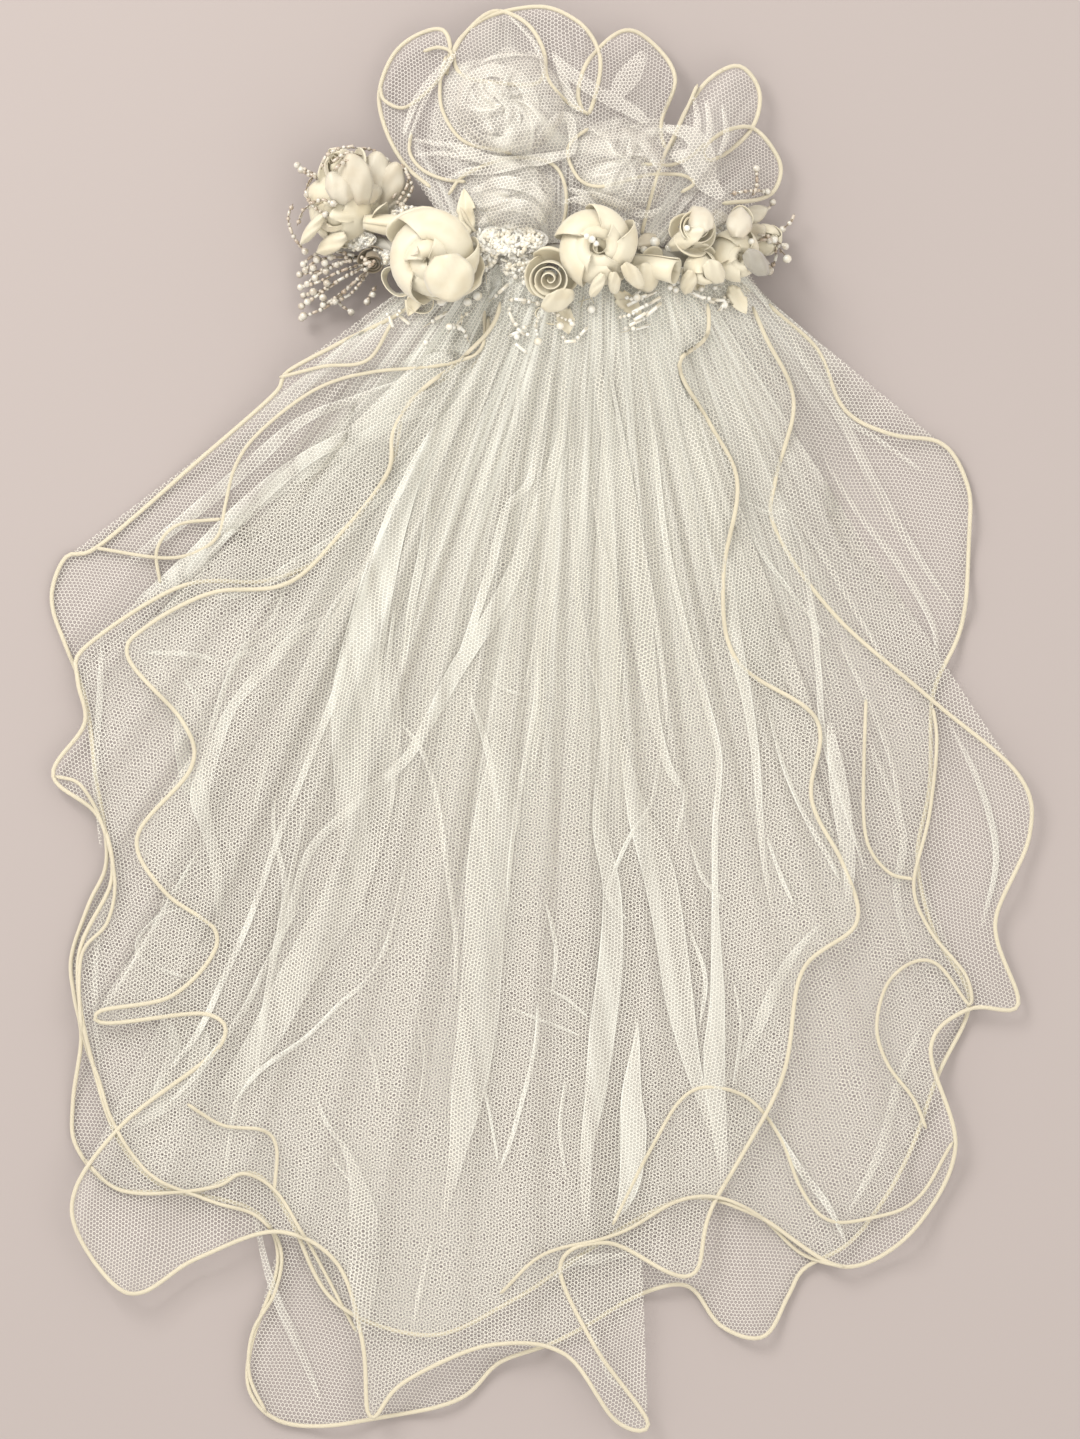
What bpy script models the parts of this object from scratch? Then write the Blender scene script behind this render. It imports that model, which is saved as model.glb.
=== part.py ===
# A bridal veil laid flat: a wired headband arch with satin roses, leaves and pearl sprays,
# three gathered tiers of net with corded hems, and a pouf of net behind the band.
# Metres, +Z up from the surface that the veil lies on, +Y towards the pouf.
import math

import bmesh
import bpy
from mathutils import Vector
from mathutils.bvhtree import BVHTree

MM = 0.001

# Driving sizes in millimetres
NET_WALL = 1.4
SEAM_GAP = 0.3
TIER_PITCH = 4.4
TIER_PITCH_AT_BAND = 2.5
DRAPE_LENGTH = 150.0
LOOSENING_LENGTH = 20.0
BAND_RADIUS = 5.0
CORD_RADIUS = 1.0
PEARL_RADIUS = 2.5
STEM_RADIUS = 0.8

# The fan that every tier is draped on: folds run out from this point above the band
FAN_CENTRE = (24.0, 341.0)
FAN_ROOT_DEPTH = 92.0
FAN_LAST_BEARING = 50.0
FAN_HALF_WIDTH = 325.0
FAN_LENGTH = 795.0
FAN_ROWS = (0.0, 0.06, 0.14, 0.3, 0.58, 1.0)

# Middle line of the wired band: x, y, z
BAND_LINE = (
    (-107, 267, 5.4), (-88, 261, 25), (-62, 255, 40), (-24, 254, 49), (11, 255, 52),
    (44, 255, 51), (77, 253, 43), (104, 253, 28), (121, 254, 5.4),
)

# Folds of the net: bearing and half width in degrees, then the rise at the band, on the way and at the hem
FOLD_HALF_WAY = 0.35
FOLDS = (
    (-44.0, 1.2, 1.5, 3.0, 2.0), (-40.2, 1.3, 2.0, 5.0, 3.0), (-36.0, 1.5, 2.0, 4.0, 5.0),
    (-32.3, 1.2, 2.5, 6.0, 2.5), (-28.6, 1.6, 2.0, 4.5, 6.0), (-24.8, 1.2, 3.0, 8.0, 3.0),
    (-21.2, 1.5, 2.5, 7.0, 5.5), (-17.6, 1.2, 3.0, 9.0, 2.5), (-14.0, 1.3, 2.5, 6.0, 4.5),
    (-10.4, 1.5, 3.0, 8.5, 6.0), (-6.6, 1.2, 2.5, 7.0, 2.5), (-3.2, 1.3, 3.0, 9.0, 4.0),
    (0.4, 1.4, 2.5, 7.5, 6.0), (4.2, 1.3, 3.0, 8.5, 3.0), (8.0, 1.5, 2.5, 9.0, 5.0),
    (12.0, 1.3, 3.0, 6.5, 2.5), (15.8, 1.4, 2.5, 8.0, 6.0), (19.8, 1.5, 3.0, 7.0, 3.5),
    (24.0, 1.6, 2.0, 5.0, 5.5), (28.4, 1.5, 2.5, 6.0, 2.5), (33.0, 1.7, 2.0, 4.0, 4.5),
    (37.8, 1.5, 2.0, 5.0, 3.0), (42.6, 1.5, 1.5, 3.0, 2.5),
)

# Hem of each tier from the left end of its gathers to the right: x, y of each crest and hollow
BOTTOM_HEM = (
    (-63, 252), (-70, 228), (-107, 209), (-140, 192), (-147, 180), (-191, 142), (-245, 96),
    (-262, 91), (-270, 75), (-270, 60), (-263, 41), (-252, 11), (-246, -33), (-240, -77),
    (-250, -102), (-260, -132), (-258, -154), (-254, -176), (-259, -212), (-257, -237),
    (-235, -260), (-202, -262), (-159, -272), (-145, -300), (-160, -346), (-160, -374),
    (-138, -391), (-94, -388), (-45, -377), (-22, -356), (11, -344), (55, -319), (82, -314),
    (100, -336), (124, -342), (138, -319), (147, -304), (176, -286), (204, -242), (220, -198),
    (238, -156), (218, -117), (209, -77), (216, -38), (218, 14), (234, 53), (238, 105),
    (237, 130), (223, 153), (194, 158), (168, 172), (153, 205), (127, 228), (114, 252),
)
MIDDLE_HEM = (
    (-34, 251), (-28, 221), (-34, 197), (-57, 185), (-74, 172), (-84, 136), (-117, 94),
    (-150, 77), (-198, 74), (-252, 40), (-256, 22), (-252, -2), (-270, -31), (-245, -53),
    (-237, -88), (-256, -134), (-245, -201), (-226, -244), (-195, -262), (-159, -251),
    (-138, -277), (-114, -322), (-61, -341), (-11, -319), (40, -285), (82, -265), (119, -274),
    (168, -303), (207, -282), (230, -237), (216, -182), (238, -160), (265, -158), (252, -113),
    (271, -65), (265, -31), (218, 10), (164, 57), (130, 105), (130, 132), (140, 176),
    (123, 212), (107, 251),
)
TOP_HEM = (
    (-22, 251), (-23, 221), (-38, 202), (-68, 178), (-81, 158), (-84, 136), (-110, 103),
    (-140, 75), (-182, 70), (-218, 51), (-228, 34), (-197, -2), (-193, -27), (-223, -65),
    (-207, -96), (-178, -120), (-202, -152), (-243, -161), (-239, -168), (-183, -163),
    (-178, -182), (-233, -226), (-259, -272), (-228, -317), (-190, -298), (-145, -283),
    (-112, -301), (-98, -344), (-94, -387), (-76, -367), (-28, -346), (14, -351), (42, -388),
    (60, -389), (30, -346), (11, -302), (37, -289), (83, -308), (95, -270), (133, -201),
    (145, -139), (175, -113), (168, -81), (150, -44), (153, 0), (109, 32), (101, 77),
    (109, 130), (94, 162), (76, 194), (92, 212), (88, 251),
)
# Hem cords start below this y; hem curves are drawn in steps and thinned to a tolerance
CORD_START = 229.0
HEM_STEPS = 6
HEM_TOLERANCE = 1.25

# Outline that a tier is cut with: how far up the photo it closes, its height and its middle
PATTERN_TOP = 300.0
PATTERN_HEIGHT = 200.0
PATTERN_MIDDLE = 50.0

# Lobed edge of the pouf, measured from the middle of the band: bearing in degrees, reach, height
POUF_CENTRE = (19.0, 261.0)
POUF_ROOT_HALF_WIDTH = 64.0
POUF_ROOT_BEARING = 80.0
POUF_LOBES = (
    (-76, 84, 30), (-66, 104, 22), (-57, 127, 10), (-48, 140, 6), (-38, 146, 10), (-31, 129, 22),
    (-24, 137, 12), (-17, 139, 6), (-8, 136, 9), (-1, 116, 20), (3, 103, 28), (9, 117, 16),
    (17, 124, 8), (25, 120, 6), (31, 108, 12), (36, 84, 28), (41, 118, 16), (47, 135, 8),
    (53, 128, 8), (58, 95, 24), (63, 117, 14), (69, 123, 8), (76, 104, 14), (82, 72, 30),
)
POUF_ROWS = (0.0, 0.18, 0.4, 0.65, 0.85, 1.0)
POUF_CROWN = 14.0

# Bunched puffs of net on the pouf: name, x, y, radius, height, twist of the folds in degrees
PUFFS = (
    ("pouf_puff_left", -16, 338, 30, 24, 70), ("pouf_puff_right", 46, 300, 24, 20, -60),
    ("pouf_loop_front", -12, 284, 20, 15, 40),
)
PUFF_RINGS = (0.02, 0.35, 0.7, 0.93, 1.0)
PUFF_SPOKES = 18
PUFF_WALL = 1.6
PUFF_HOLLOW = 0.84
PUFF_HEM_WAVE = 0.07
PUFF_REACH = 3.0

# Satin roses: name, x, y of the middle, radius, petals in a ring, lean to the right, lean down
ROSES = (
    ("rose_left_end", -112, 280, 17, 5, -50, 20), ("rose_left_bud", -84, 271, 9, 3, 20, 30),
    ("rose_left_top", -110, 305, 12, 4, -20, -20), ("rose_shadowed", -92, 252, 7, 3, 0, 70),
    ("rose_large", -58, 252, 22, 5, -10, 10), ("rose_rolled", 6, 241, 12, 3, -5, 25),
    ("rose_open", 31, 257, 20, 5, 5, 5), ("rose_tube", 63, 246, 9, 3, 40, 45),
    ("rose_small", 84, 266, 11, 4, 10, -20), ("rose_bud", 88, 246, 10, 3, 15, 25),
    ("rose_right", 108, 254, 12, 4, 30, 10), ("rose_right_end", 125, 266, 10, 4, 40, 0),
)
# A rose's form, as shares of its radius and degrees from its top
ROSE_SEGMENTS = 12
ROSE_RINGS = 9
PETAL_BAND = 30.0
PETAL_INNER = 0.84
PETAL_FLARE = 0.1
PETAL_LOBE = 0.06
PETAL_TURN = 1.9
CALYX_FROM = 110.0
HEART_TO = 25.0
HEART_DEPTH = 0.72
SEATING_RINGS = (0.0, 0.3, 0.55, 0.75, 0.9, 0.98)
SEATING_SPOTS = 16

# Satin leaves: name, x and y of the root, bearing of the tip, length, width
LEAVES = (
    ("leaf_upright", -39, 262, 355, 28, 11), ("leaf_under_large", -66, 238, 200, 18, 10),
    ("leaf_under_rolled", 12, 227, 168, 17, 11), ("leaf_under_open", 40, 234, 130, 20, 11),
    ("leaf_right", 104, 238, 150, 18, 10),
)
# A leaf's outline as shares of its length and width, and how far round it feels for the cloth
LEAF_OUTLINE = ((0.0, 0.2), (0.3, 0.85), (0.6, 1.0), (0.85, 0.55), (1.0, 0.1))
LEAF_WALL = 1.2
LEAF_CREASE = 1.5
LEAF_SETTLING = (2.5, 5.0)

# Pearl sprays: name, x, y of the root, and x, y of each tip
SPRAYS = (
    ("spray_left_low", (-104, 260), ((-132, 231), (-130, 221), (-120, 219), (-135, 243), (-110, 225))),
    ("spray_left_high", (-123, 290), ((-137, 276), (-136, 300), (-128, 318), (-140, 288))),
    ("spray_front_left", (-50, 221), ((-62, 212), (-48, 207), (-36, 212))),
    ("spray_front_middle", (-8, 222), ((-22, 206), (-8, 204), (6, 208))),
    ("spray_front_right", (58, 226), ((44, 218), (50, 210), (66, 214))),
    ("spray_right", (134, 262), ((140, 282), (146, 256), (138, 246))),
)
KNOT_RADIUS = 2.4
STEM_ARCH = 5.0
STEM_FEEL = 1.5
STEM_CLEARANCE = 2.0
# Points of a stem: share of its length, and radius as a share of the stem's or of the pearl's
STEM_POINTS = (
    (0.0, STEM_RADIUS), (0.45, STEM_RADIUS), (0.84, 0.7 * PEARL_RADIUS), (0.92, PEARL_RADIUS),
    (1.0, 0.45 * PEARL_RADIUS),
)


def collection(name):
    """A new collection under the scene's own."""
    made = bpy.data.collections.new(name)
    bpy.context.scene.collection.children.link(made)
    return made


def finish(name, colour, roughness):
    """A plain Principled material."""
    made = bpy.data.materials.new(name)
    made.use_nodes = True
    shader = made.node_tree.nodes["Principled BSDF"]
    shader.inputs["Base Color"].default_value = (*colour, 1.0)
    shader.inputs["Roughness"].default_value = roughness
    shader.inputs["Metallic"].default_value = 0.0
    return made


def placed(name, data, material, where):
    """An object of this mesh or curve, with its material, in a collection."""
    made = bpy.data.objects.new(name, data)
    where.objects.link(made)
    if material:
        data.materials.append(material)
    return made


def evaluated_mesh(source):
    """What the viewport shows of an object, as a mesh of its own with its doubles merged."""
    graph = bpy.context.evaluated_depsgraph_get()
    mesh = bpy.data.meshes.new_from_object(source.evaluated_get(graph))
    shape = bmesh.new()
    shape.from_mesh(mesh)
    bmesh.ops.remove_doubles(shape, verts=shape.verts, dist=0.00001)
    shape.to_mesh(mesh)
    shape.free()
    return mesh


def spread(table, at, column=1):
    """A column of a table read between its rows, which run upwards in their first column."""
    if at <= table[0][0]:
        return table[0][column]
    for low, high in zip(table, table[1:]):
        if at <= high[0]:
            share = (at - low[0]) / (high[0] - low[0])
            return low[column] + share * (high[column] - low[column])
    return table[-1][column]


def smooth_line(rows, steps):
    """Points along a Bezier curve with automatic handles through the rows of a table."""
    data = bpy.data.curves.new("guide", "CURVE")
    data.dimensions = "3D"
    data.resolution_u = steps
    spline = data.splines.new("BEZIER")
    spline.bezier_points.add(len(rows) - 1)
    for point, row in zip(spline.bezier_points, rows):
        point.co = (row[0] * MM, row[1] * MM, (row[2] if len(row) > 2 else 0.0) * MM)
        point.handle_left_type = "AUTO"
        point.handle_right_type = "AUTO"
    guide = bpy.data.objects.new("guide", data)
    bpy.context.scene.collection.objects.link(guide)
    graph = bpy.context.evaluated_depsgraph_get()
    mesh = guide.evaluated_get(graph).to_mesh()
    line = [Vector(vertex.co) / MM for vertex in mesh.vertices]
    bpy.data.objects.remove(guide)
    return line


def tube(name, line, radius, resolution, material, where, swell=None):
    """A round wire along a line of points in millimetres, with closed ends."""
    data = bpy.data.curves.new(name, "CURVE")
    data.dimensions = "3D"
    data.bevel_depth = radius * MM
    data.bevel_resolution = resolution
    data.use_fill_caps = True
    spline = data.splines.new("POLY")
    spline.points.add(len(line) - 1)
    for index, (point, place) in enumerate(zip(spline.points, line)):
        point.co = (place[0] * MM, place[1] * MM, place[2] * MM, 1.0)
        point.radius = swell[index] if swell else 1.0
    return placed(name, data, material, where)


def closed_sheet(name, upper, lower, material, where):
    """A wall between two grids of points, rows by columns, with its four edges closed."""
    rows = len(upper)
    columns = len(upper[0])
    shape = bmesh.new()
    top = [[shape.verts.new([c * MM for c in p]) for p in row] for row in upper]
    low = [[shape.verts.new([c * MM for c in p]) for p in row] for row in lower]
    for i in range(rows - 1):
        for j in range(columns - 1):
            shape.faces.new((top[i][j], top[i + 1][j], top[i + 1][j + 1], top[i][j + 1]))
            shape.faces.new((low[i][j], low[i][j + 1], low[i + 1][j + 1], low[i + 1][j]))
    for i in range(rows - 1):
        shape.faces.new((top[i][0], low[i][0], low[i + 1][0], top[i + 1][0]))
        shape.faces.new((top[i][-1], top[i + 1][-1], low[i + 1][-1], low[i][-1]))
    for j in range(columns - 1):
        shape.faces.new((top[0][j], top[0][j + 1], low[0][j + 1], low[0][j]))
        shape.faces.new((top[-1][j], low[-1][j], low[-1][j + 1], top[-1][j + 1]))
    bmesh.ops.recalc_face_normals(shape, faces=shape.faces)
    bmesh.ops.triangulate(shape, faces=shape.faces)
    mesh = bpy.data.meshes.new(name)
    shape.to_mesh(mesh)
    shape.free()
    return placed(name, mesh, material, where)


def net_wall(name, centre):
    """A wall of net, half its thickness above and half below a grid of points."""
    half = NET_WALL / 2
    upper = [[(x, y, z + half) for x, y, z in row] for row in centre]
    lower = [[(x, y, z - half) for x, y, z in row] for row in centre]
    return closed_sheet(name, upper, lower, NET, veil)


def surface_of(*solids):
    """The faces of solids, to find the height of cloth at a place."""
    points = []
    faces = []
    for solid in solids:
        mesh = evaluated_mesh(solid)
        mesh.calc_loop_triangles()
        start = len(points)
        points += [solid.matrix_world @ vertex.co for vertex in mesh.vertices]
        faces += [[start + v for v in triangle.vertices] for triangle in mesh.loop_triangles]
    return BVHTree.FromPolygons(points, faces)


def height_on(surface, x, y, reach=0.0):
    """Top of what lies at x, y, or the highest of it within reach, in millimetres."""
    found = 0.0
    spots = [(x, y)]
    if reach:
        turns = [math.radians(45 * k) for k in range(8)]
        spots += [(x + reach * math.cos(t), y + reach * math.sin(t)) for t in turns]
    for spot in spots:
        hit = surface.ray_cast(Vector((spot[0] * MM, spot[1] * MM, 1.0)), Vector((0, 0, -1)))
        if hit[0]:
            found = max(found, hit[0].z / MM)
    return found


for leftover in list(bpy.data.objects):
    bpy.data.objects.remove(leftover)
veil = collection("bridal_veil")
cutters = collection("cutters")

NET = finish("net", (0.86, 0.84, 0.78), 0.7)
CORD = finish("cord", (0.9, 0.82, 0.63), 0.5)
SATIN = finish("satin", (0.88, 0.82, 0.68), 0.35)
PEARL = finish("pearl", (0.9, 0.86, 0.76), 0.2)
BINDING = finish("binding", (0.6, 0.57, 0.5), 0.6)

# Headband: a wire bound with ribbon, arched over the head's hollow
band_line = smooth_line(BAND_LINE, 3)
headband = tube("headband", band_line, BAND_RADIUS, 1, BINDING, veil)


def band_at(x, column):
    """Y or Z of the band's middle line at x."""
    return spread(band_line, x, column)


# Tiers: one draped fan for each, cut to the tier's hem
def fan_columns():
    """Bearing of each column of the fan, with the rises of its fold: a foot, the crest, a foot."""
    columns = [(-FAN_LAST_BEARING, 0.0, 0.0, 0.0)]
    for bearing, half_width, at_band, half_way, at_hem in FOLDS:
        columns.append((bearing - half_width, 0.0, 0.0, 0.0))
        columns.append((bearing, at_band, half_way, at_hem))
        columns.append((bearing + half_width, 0.0, 0.0, 0.0))
    columns.append((FAN_LAST_BEARING, 0.0, 0.0, 0.0))
    return columns


def tier_grid(tier):
    """Points in the middle of the wall of a tier, rows from the band outwards."""
    rows = []
    for share in FAN_ROWS:
        row = []
        for bearing, at_band, half_way, at_hem in fan_columns():
            across = math.sin(math.radians(bearing))
            down = math.cos(math.radians(bearing))
            root_x = FAN_CENTRE[0] + FAN_ROOT_DEPTH * across / down
            root_y = band_at(root_x, 1) - BAND_RADIUS - SEAM_GAP
            outline = (abs(across) / FAN_HALF_WIDTH) ** 4 + (down / FAN_LENGTH) ** 4
            reach = outline ** -0.25
            end_x = FAN_CENTRE[0] + reach * across
            end_y = FAN_CENTRE[1] - reach * down
            x = root_x + share * (end_x - root_x)
            y = root_y + share * (end_y - root_y)
            run = math.hypot(x - root_x, y - root_y)
            hang = max(0.0, 1.0 - run / DRAPE_LENGTH)
            hang = hang * hang * (3.0 - 2.0 * hang)
            resting = band_at(root_x, 2) * hang + NET_WALL / 2 * (1.0 - hang)
            loose = min(1.0, run / LOOSENING_LENGTH)
            above = TIER_PITCH_AT_BAND * (tier - 1) * (1.0 - loose) + TIER_PITCH * tier * loose
            rise = spread(((0.0, at_band), (FOLD_HALF_WAY, half_way), (1.0, at_hem)), share)
            row.append((x, y, resting + above + rise))
        rows.append(row)
    return rows


def outward(line, distance):
    """A line moved sideways to its left, with its corners kept square."""
    moved = []
    for index, here in enumerate(line):
        before = line[max(index - 1, 0)]
        after = line[min(index + 1, len(line) - 1)]
        into = (here - before).normalized() if index else (after - here).normalized()
        out_of = (after - here).normalized() if index < len(line) - 1 else into
        into_side = Vector((into.y, -into.x, 0.0))
        out_side = Vector((out_of.y, -out_of.x, 0.0))
        side = (into_side + out_side).normalized()
        stretch = 1.0 / max(0.6, side.dot(into_side))
        moved.append(here + side * distance * stretch)
    return moved


def thinned(line, tolerance):
    """The points of a line that it needs to stay within a tolerance of its first course."""
    if len(line) < 3:
        return line
    span = line[-1] - line[0]
    worst = 0.0
    at = 0
    for index, point in enumerate(line[1:-1], 1):
        if span.length:
            share = max(0.0, min(1.0, (point - line[0]).dot(span) / span.length_squared))
            off = (point - line[0] - span * share).length
        else:
            off = (point - line[0]).length
        if off > worst:
            worst = off
            at = index
    if worst <= tolerance:
        return [line[0], line[-1]]
    return thinned(line[: at + 1], tolerance)[:-1] + thinned(line[at:], tolerance)


def cut_tier(name, tier, hem):
    """A tier of net: the draped fan cut along its hem, and the corded edge just outside it."""
    sheet = net_wall(name, tier_grid(tier))
    surface = surface_of(sheet)
    edge = smooth_line(hem, HEM_STEPS)
    for point in edge:
        point.z = height_on(surface, point.x, point.y)
    edge = thinned(edge, HEM_TOLERANCE)

    data = bpy.data.curves.new(name + "_pattern", "CURVE")
    data.dimensions = "2D"
    data.fill_mode = "BOTH"
    data.extrude = PATTERN_HEIGHT / 2 * MM
    spline = data.splines.new("POLY")
    corners = [(edge[0].x, PATTERN_TOP), *[(p.x, p.y) for p in edge], (edge[-1].x, PATTERN_TOP)]
    spline.points.add(len(corners) - 1)
    spline.use_cyclic_u = True
    for point, corner in zip(spline.points, corners):
        point.co = (corner[0] * MM, corner[1] * MM, 0.0, 1.0)
    drawn = placed(name + "_drawn", data, None, cutters)
    drawn.location.z = PATTERN_MIDDLE * MM
    bpy.context.view_layer.update()
    pattern = placed(name + "_pattern", evaluated_mesh(drawn), None, cutters)
    pattern.matrix_world = drawn.matrix_world.copy()
    bpy.data.objects.remove(drawn)
    pattern.hide_render = True
    pattern.display_type = "WIRE"

    cut = sheet.modifiers.new("hem", "BOOLEAN")
    cut.operation = "INTERSECT"
    cut.object = pattern

    beside = outward(edge, CORD_RADIUS + SEAM_GAP)
    line = []
    for point, hem_point in zip(beside, edge):
        if hem_point.y < CORD_START:
            line.append((point.x, point.y, hem_point.z - NET_WALL + CORD_RADIUS + SEAM_GAP))
    tube(name.replace("veil_tier", "hem_cord"), line, CORD_RADIUS, 0, CORD, veil)
    return sheet


bottom_tier = cut_tier("veil_tier_bottom", 0, BOTTOM_HEM)
middle_tier = cut_tier("veil_tier_middle", 1, MIDDLE_HEM)
top_tier = cut_tier("veil_tier_top", 2, TOP_HEM)


# Pouf: a gathered ruffle of net with a lobed, corded edge behind the band
def pouf_grid():
    """Points in the middle of the ruffle's wall, rows from the band outwards."""
    edge = smooth_line(POUF_LOBES, 2)
    rows = []
    for share in POUF_ROWS:
        row = []
        for bearing, reach, height in edge:
            root_x = POUF_CENTRE[0] + POUF_ROOT_HALF_WIDTH * bearing / POUF_ROOT_BEARING
            root_y = band_at(root_x, 1) + BAND_RADIUS + SEAM_GAP
            turn = math.radians(bearing)
            end_x = POUF_CENTRE[0] + reach * math.sin(turn)
            end_y = POUF_CENTRE[1] + reach * math.cos(turn)
            fall = share * share * (3.0 - 2.0 * share)
            z = band_at(root_x, 2) * (1.0 - fall) + height * fall
            z += POUF_CROWN * math.sin(math.pi * share)
            row.append((root_x + share * (end_x - root_x), root_y + share * (end_y - root_y), z))
        rows.append(row)
    return rows


ruffle = pouf_grid()
pouf = net_wall("pouf_ruffle", ruffle)
ruffle_edge = [Vector(point) for point in ruffle[-1]]
tube("pouf_cord", outward(ruffle_edge, -(CORD_RADIUS + 2 * SEAM_GAP)), CORD_RADIUS, 0, CORD, veil)


def puff(name, x, y, radius, height, twist):
    """A puff of bunched net: one rounded solid over the ruffle, with twisted folds."""
    base = surface_of(pouf)
    upper = []
    lower = []
    for ring in PUFF_RINGS:
        over = []
        under = []
        for k in range(PUFF_SPOKES):
            turn = 2.0 * math.pi * k / PUFF_SPOKES + math.radians(twist) * (1.0 - ring)
            fold = 1.0 if k % 2 else PUFF_HOLLOW
            out = radius * ring * (1.0 - PUFF_HEM_WAVE * (1.0 - fold))
            place_x = x + out * math.cos(turn)
            place_y = y + out * math.sin(turn)
            floor = height_on(base, place_x, place_y, PUFF_REACH) + SEAM_GAP
            crown = math.sqrt(max(0.0, 1.0 - ring * ring))
            under.append((place_x, place_y, floor))
            over.append((place_x, place_y, floor + PUFF_WALL + height * crown * fold))
        upper.append(over)
        lower.append(under)
    return ringed(name, upper, lower)


def ringed(name, upper, lower):
    """A closed body of net between two sets of rings round a middle."""
    shape = bmesh.new()
    top = [[shape.verts.new([c * MM for c in p]) for p in ring] for ring in upper]
    low = [[shape.verts.new([c * MM for c in p]) for p in ring] for ring in lower]
    for i in range(len(upper) - 1):
        for k in range(PUFF_SPOKES):
            n = (k + 1) % PUFF_SPOKES
            shape.faces.new((top[i][k], top[i + 1][k], top[i + 1][n], top[i][n]))
            shape.faces.new((low[i][k], low[i][n], low[i + 1][n], low[i + 1][k]))
    for k in range(PUFF_SPOKES):
        n = (k + 1) % PUFF_SPOKES
        shape.faces.new((top[-1][k], low[-1][k], low[-1][n], top[-1][n]))
    shape.faces.new(top[0])
    shape.faces.new(list(reversed(low[0])))
    bmesh.ops.recalc_face_normals(shape, faces=shape.faces)
    bmesh.ops.triangulate(shape, faces=shape.faces)
    mesh = bpy.data.meshes.new(name)
    shape.to_mesh(mesh)
    shape.free()
    return placed(name, mesh, NET, veil)


puffs = [puff(*row) for row in PUFFS]


# Roses: a sphere whose points are drawn in between overlapping rings of petals
def resting_height(surface, x, y, radius):
    """Height of the middle of a ball that comes down on what lies under it."""
    height = radius
    for ring in SEATING_RINGS:
        for k in range(SEATING_SPOTS):
            turn = 2.0 * math.pi * k / SEATING_SPOTS
            out = radius * ring
            ground = height_on(surface, x + out * math.cos(turn), y + out * math.sin(turn))
            height = max(height, ground + math.sqrt(radius * radius - out * out))
    return height + 2 * SEAM_GAP


def rose(name, x, y, radius, petals, lean_right, lean_down, below):
    """A satin rose seated on what lies below it, open towards its lean."""
    shape = bmesh.new()
    bmesh.ops.create_uvsphere(shape, u_segments=ROSE_SEGMENTS, v_segments=ROSE_RINGS, radius=1.0)
    for vertex in shape.verts:
        polar = math.degrees(math.acos(max(-1.0, min(1.0, vertex.co.z))))
        turn = math.atan2(vertex.co.y, vertex.co.x)
        ring = int(polar // PETAL_BAND)
        flare = polar / PETAL_BAND - ring
        lobe = 0.5 + 0.5 * math.cos(petals * turn + PETAL_TURN * ring)
        size = PETAL_INNER + PETAL_FLARE * flare + PETAL_LOBE * lobe
        if polar > CALYX_FROM:
            size = 1.0
        if polar < HEART_TO:
            size *= HEART_DEPTH
        vertex.co *= size
    mesh = bpy.data.meshes.new(name)
    shape.to_mesh(mesh)
    shape.free()
    mesh.shade_smooth()
    made = placed(name, mesh, SATIN, veil)
    made.scale = (radius * MM,) * 3
    made.rotation_euler = (math.radians(lean_down), math.radians(lean_right), 0.0)
    seat = resting_height(surface_of(*below), x, y, radius)
    made.location = (x * MM, y * MM, seat * MM)
    bpy.context.view_layer.update()
    return made


cloth = [bottom_tier, middle_tier, top_tier, headband, pouf, *puffs]
roses = []
for row in ROSES:
    roses.append(rose(*row, cloth + roses))


# Leaves: pointed ovals of satin with a crease, from a root by the band down onto the cloth
def leaf(name, x, y, bearing, length, width):
    """A creased leaf from its root towards a bearing, just above what it lies on."""
    base = surface_of(*cloth)
    turn = math.radians(bearing)
    along = (math.sin(turn), math.cos(turn))
    upper = []
    for share, breadth in LEAF_OUTLINE:
        row = []
        for side in (-1.0, 0.0, 1.0):
            out = side * breadth * width / 2
            place_x = x + along[0] * length * share + along[1] * out
            place_y = y + along[1] * length * share - along[0] * out
            ground = max(height_on(base, place_x, place_y, reach) for reach in LEAF_SETTLING)
            top = ground + 2 * SEAM_GAP + LEAF_WALL + LEAF_CREASE * abs(side) * breadth
            row.append((place_x, place_y, top))
        upper.append(row)
    lower = [[(px, py, pz - LEAF_WALL) for px, py, pz in row] for row in upper]
    return closed_sheet(name, upper, lower, SATIN, veil)


leaves = [leaf(*row) for row in LEAVES]


# Sprays: wire stems from one root, each ending in a pearl
def fuse(name, pieces):
    """Joins solids into one body of the pearls' material."""
    body = pieces[0]
    for piece in pieces[1:]:
        join = body.modifiers.new("join", "BOOLEAN")
        join.operation = "UNION"
        join.object = piece
        mesh = evaluated_mesh(body)
        body.modifiers.clear()
        body.data = mesh
        bpy.data.objects.remove(piece)
    body.name = name
    body.data.materials.clear()
    body.data.materials.append(PEARL)


def solid_tube(line, radius, swell):
    """A stem as a mesh, so that it can be joined."""
    drawn = tube("stem", line, radius, 0, None, cutters, swell)
    bpy.context.view_layer.update()
    solid = placed("stem_solid", evaluated_mesh(drawn), None, veil)
    bpy.data.objects.remove(drawn)
    return solid


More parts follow.
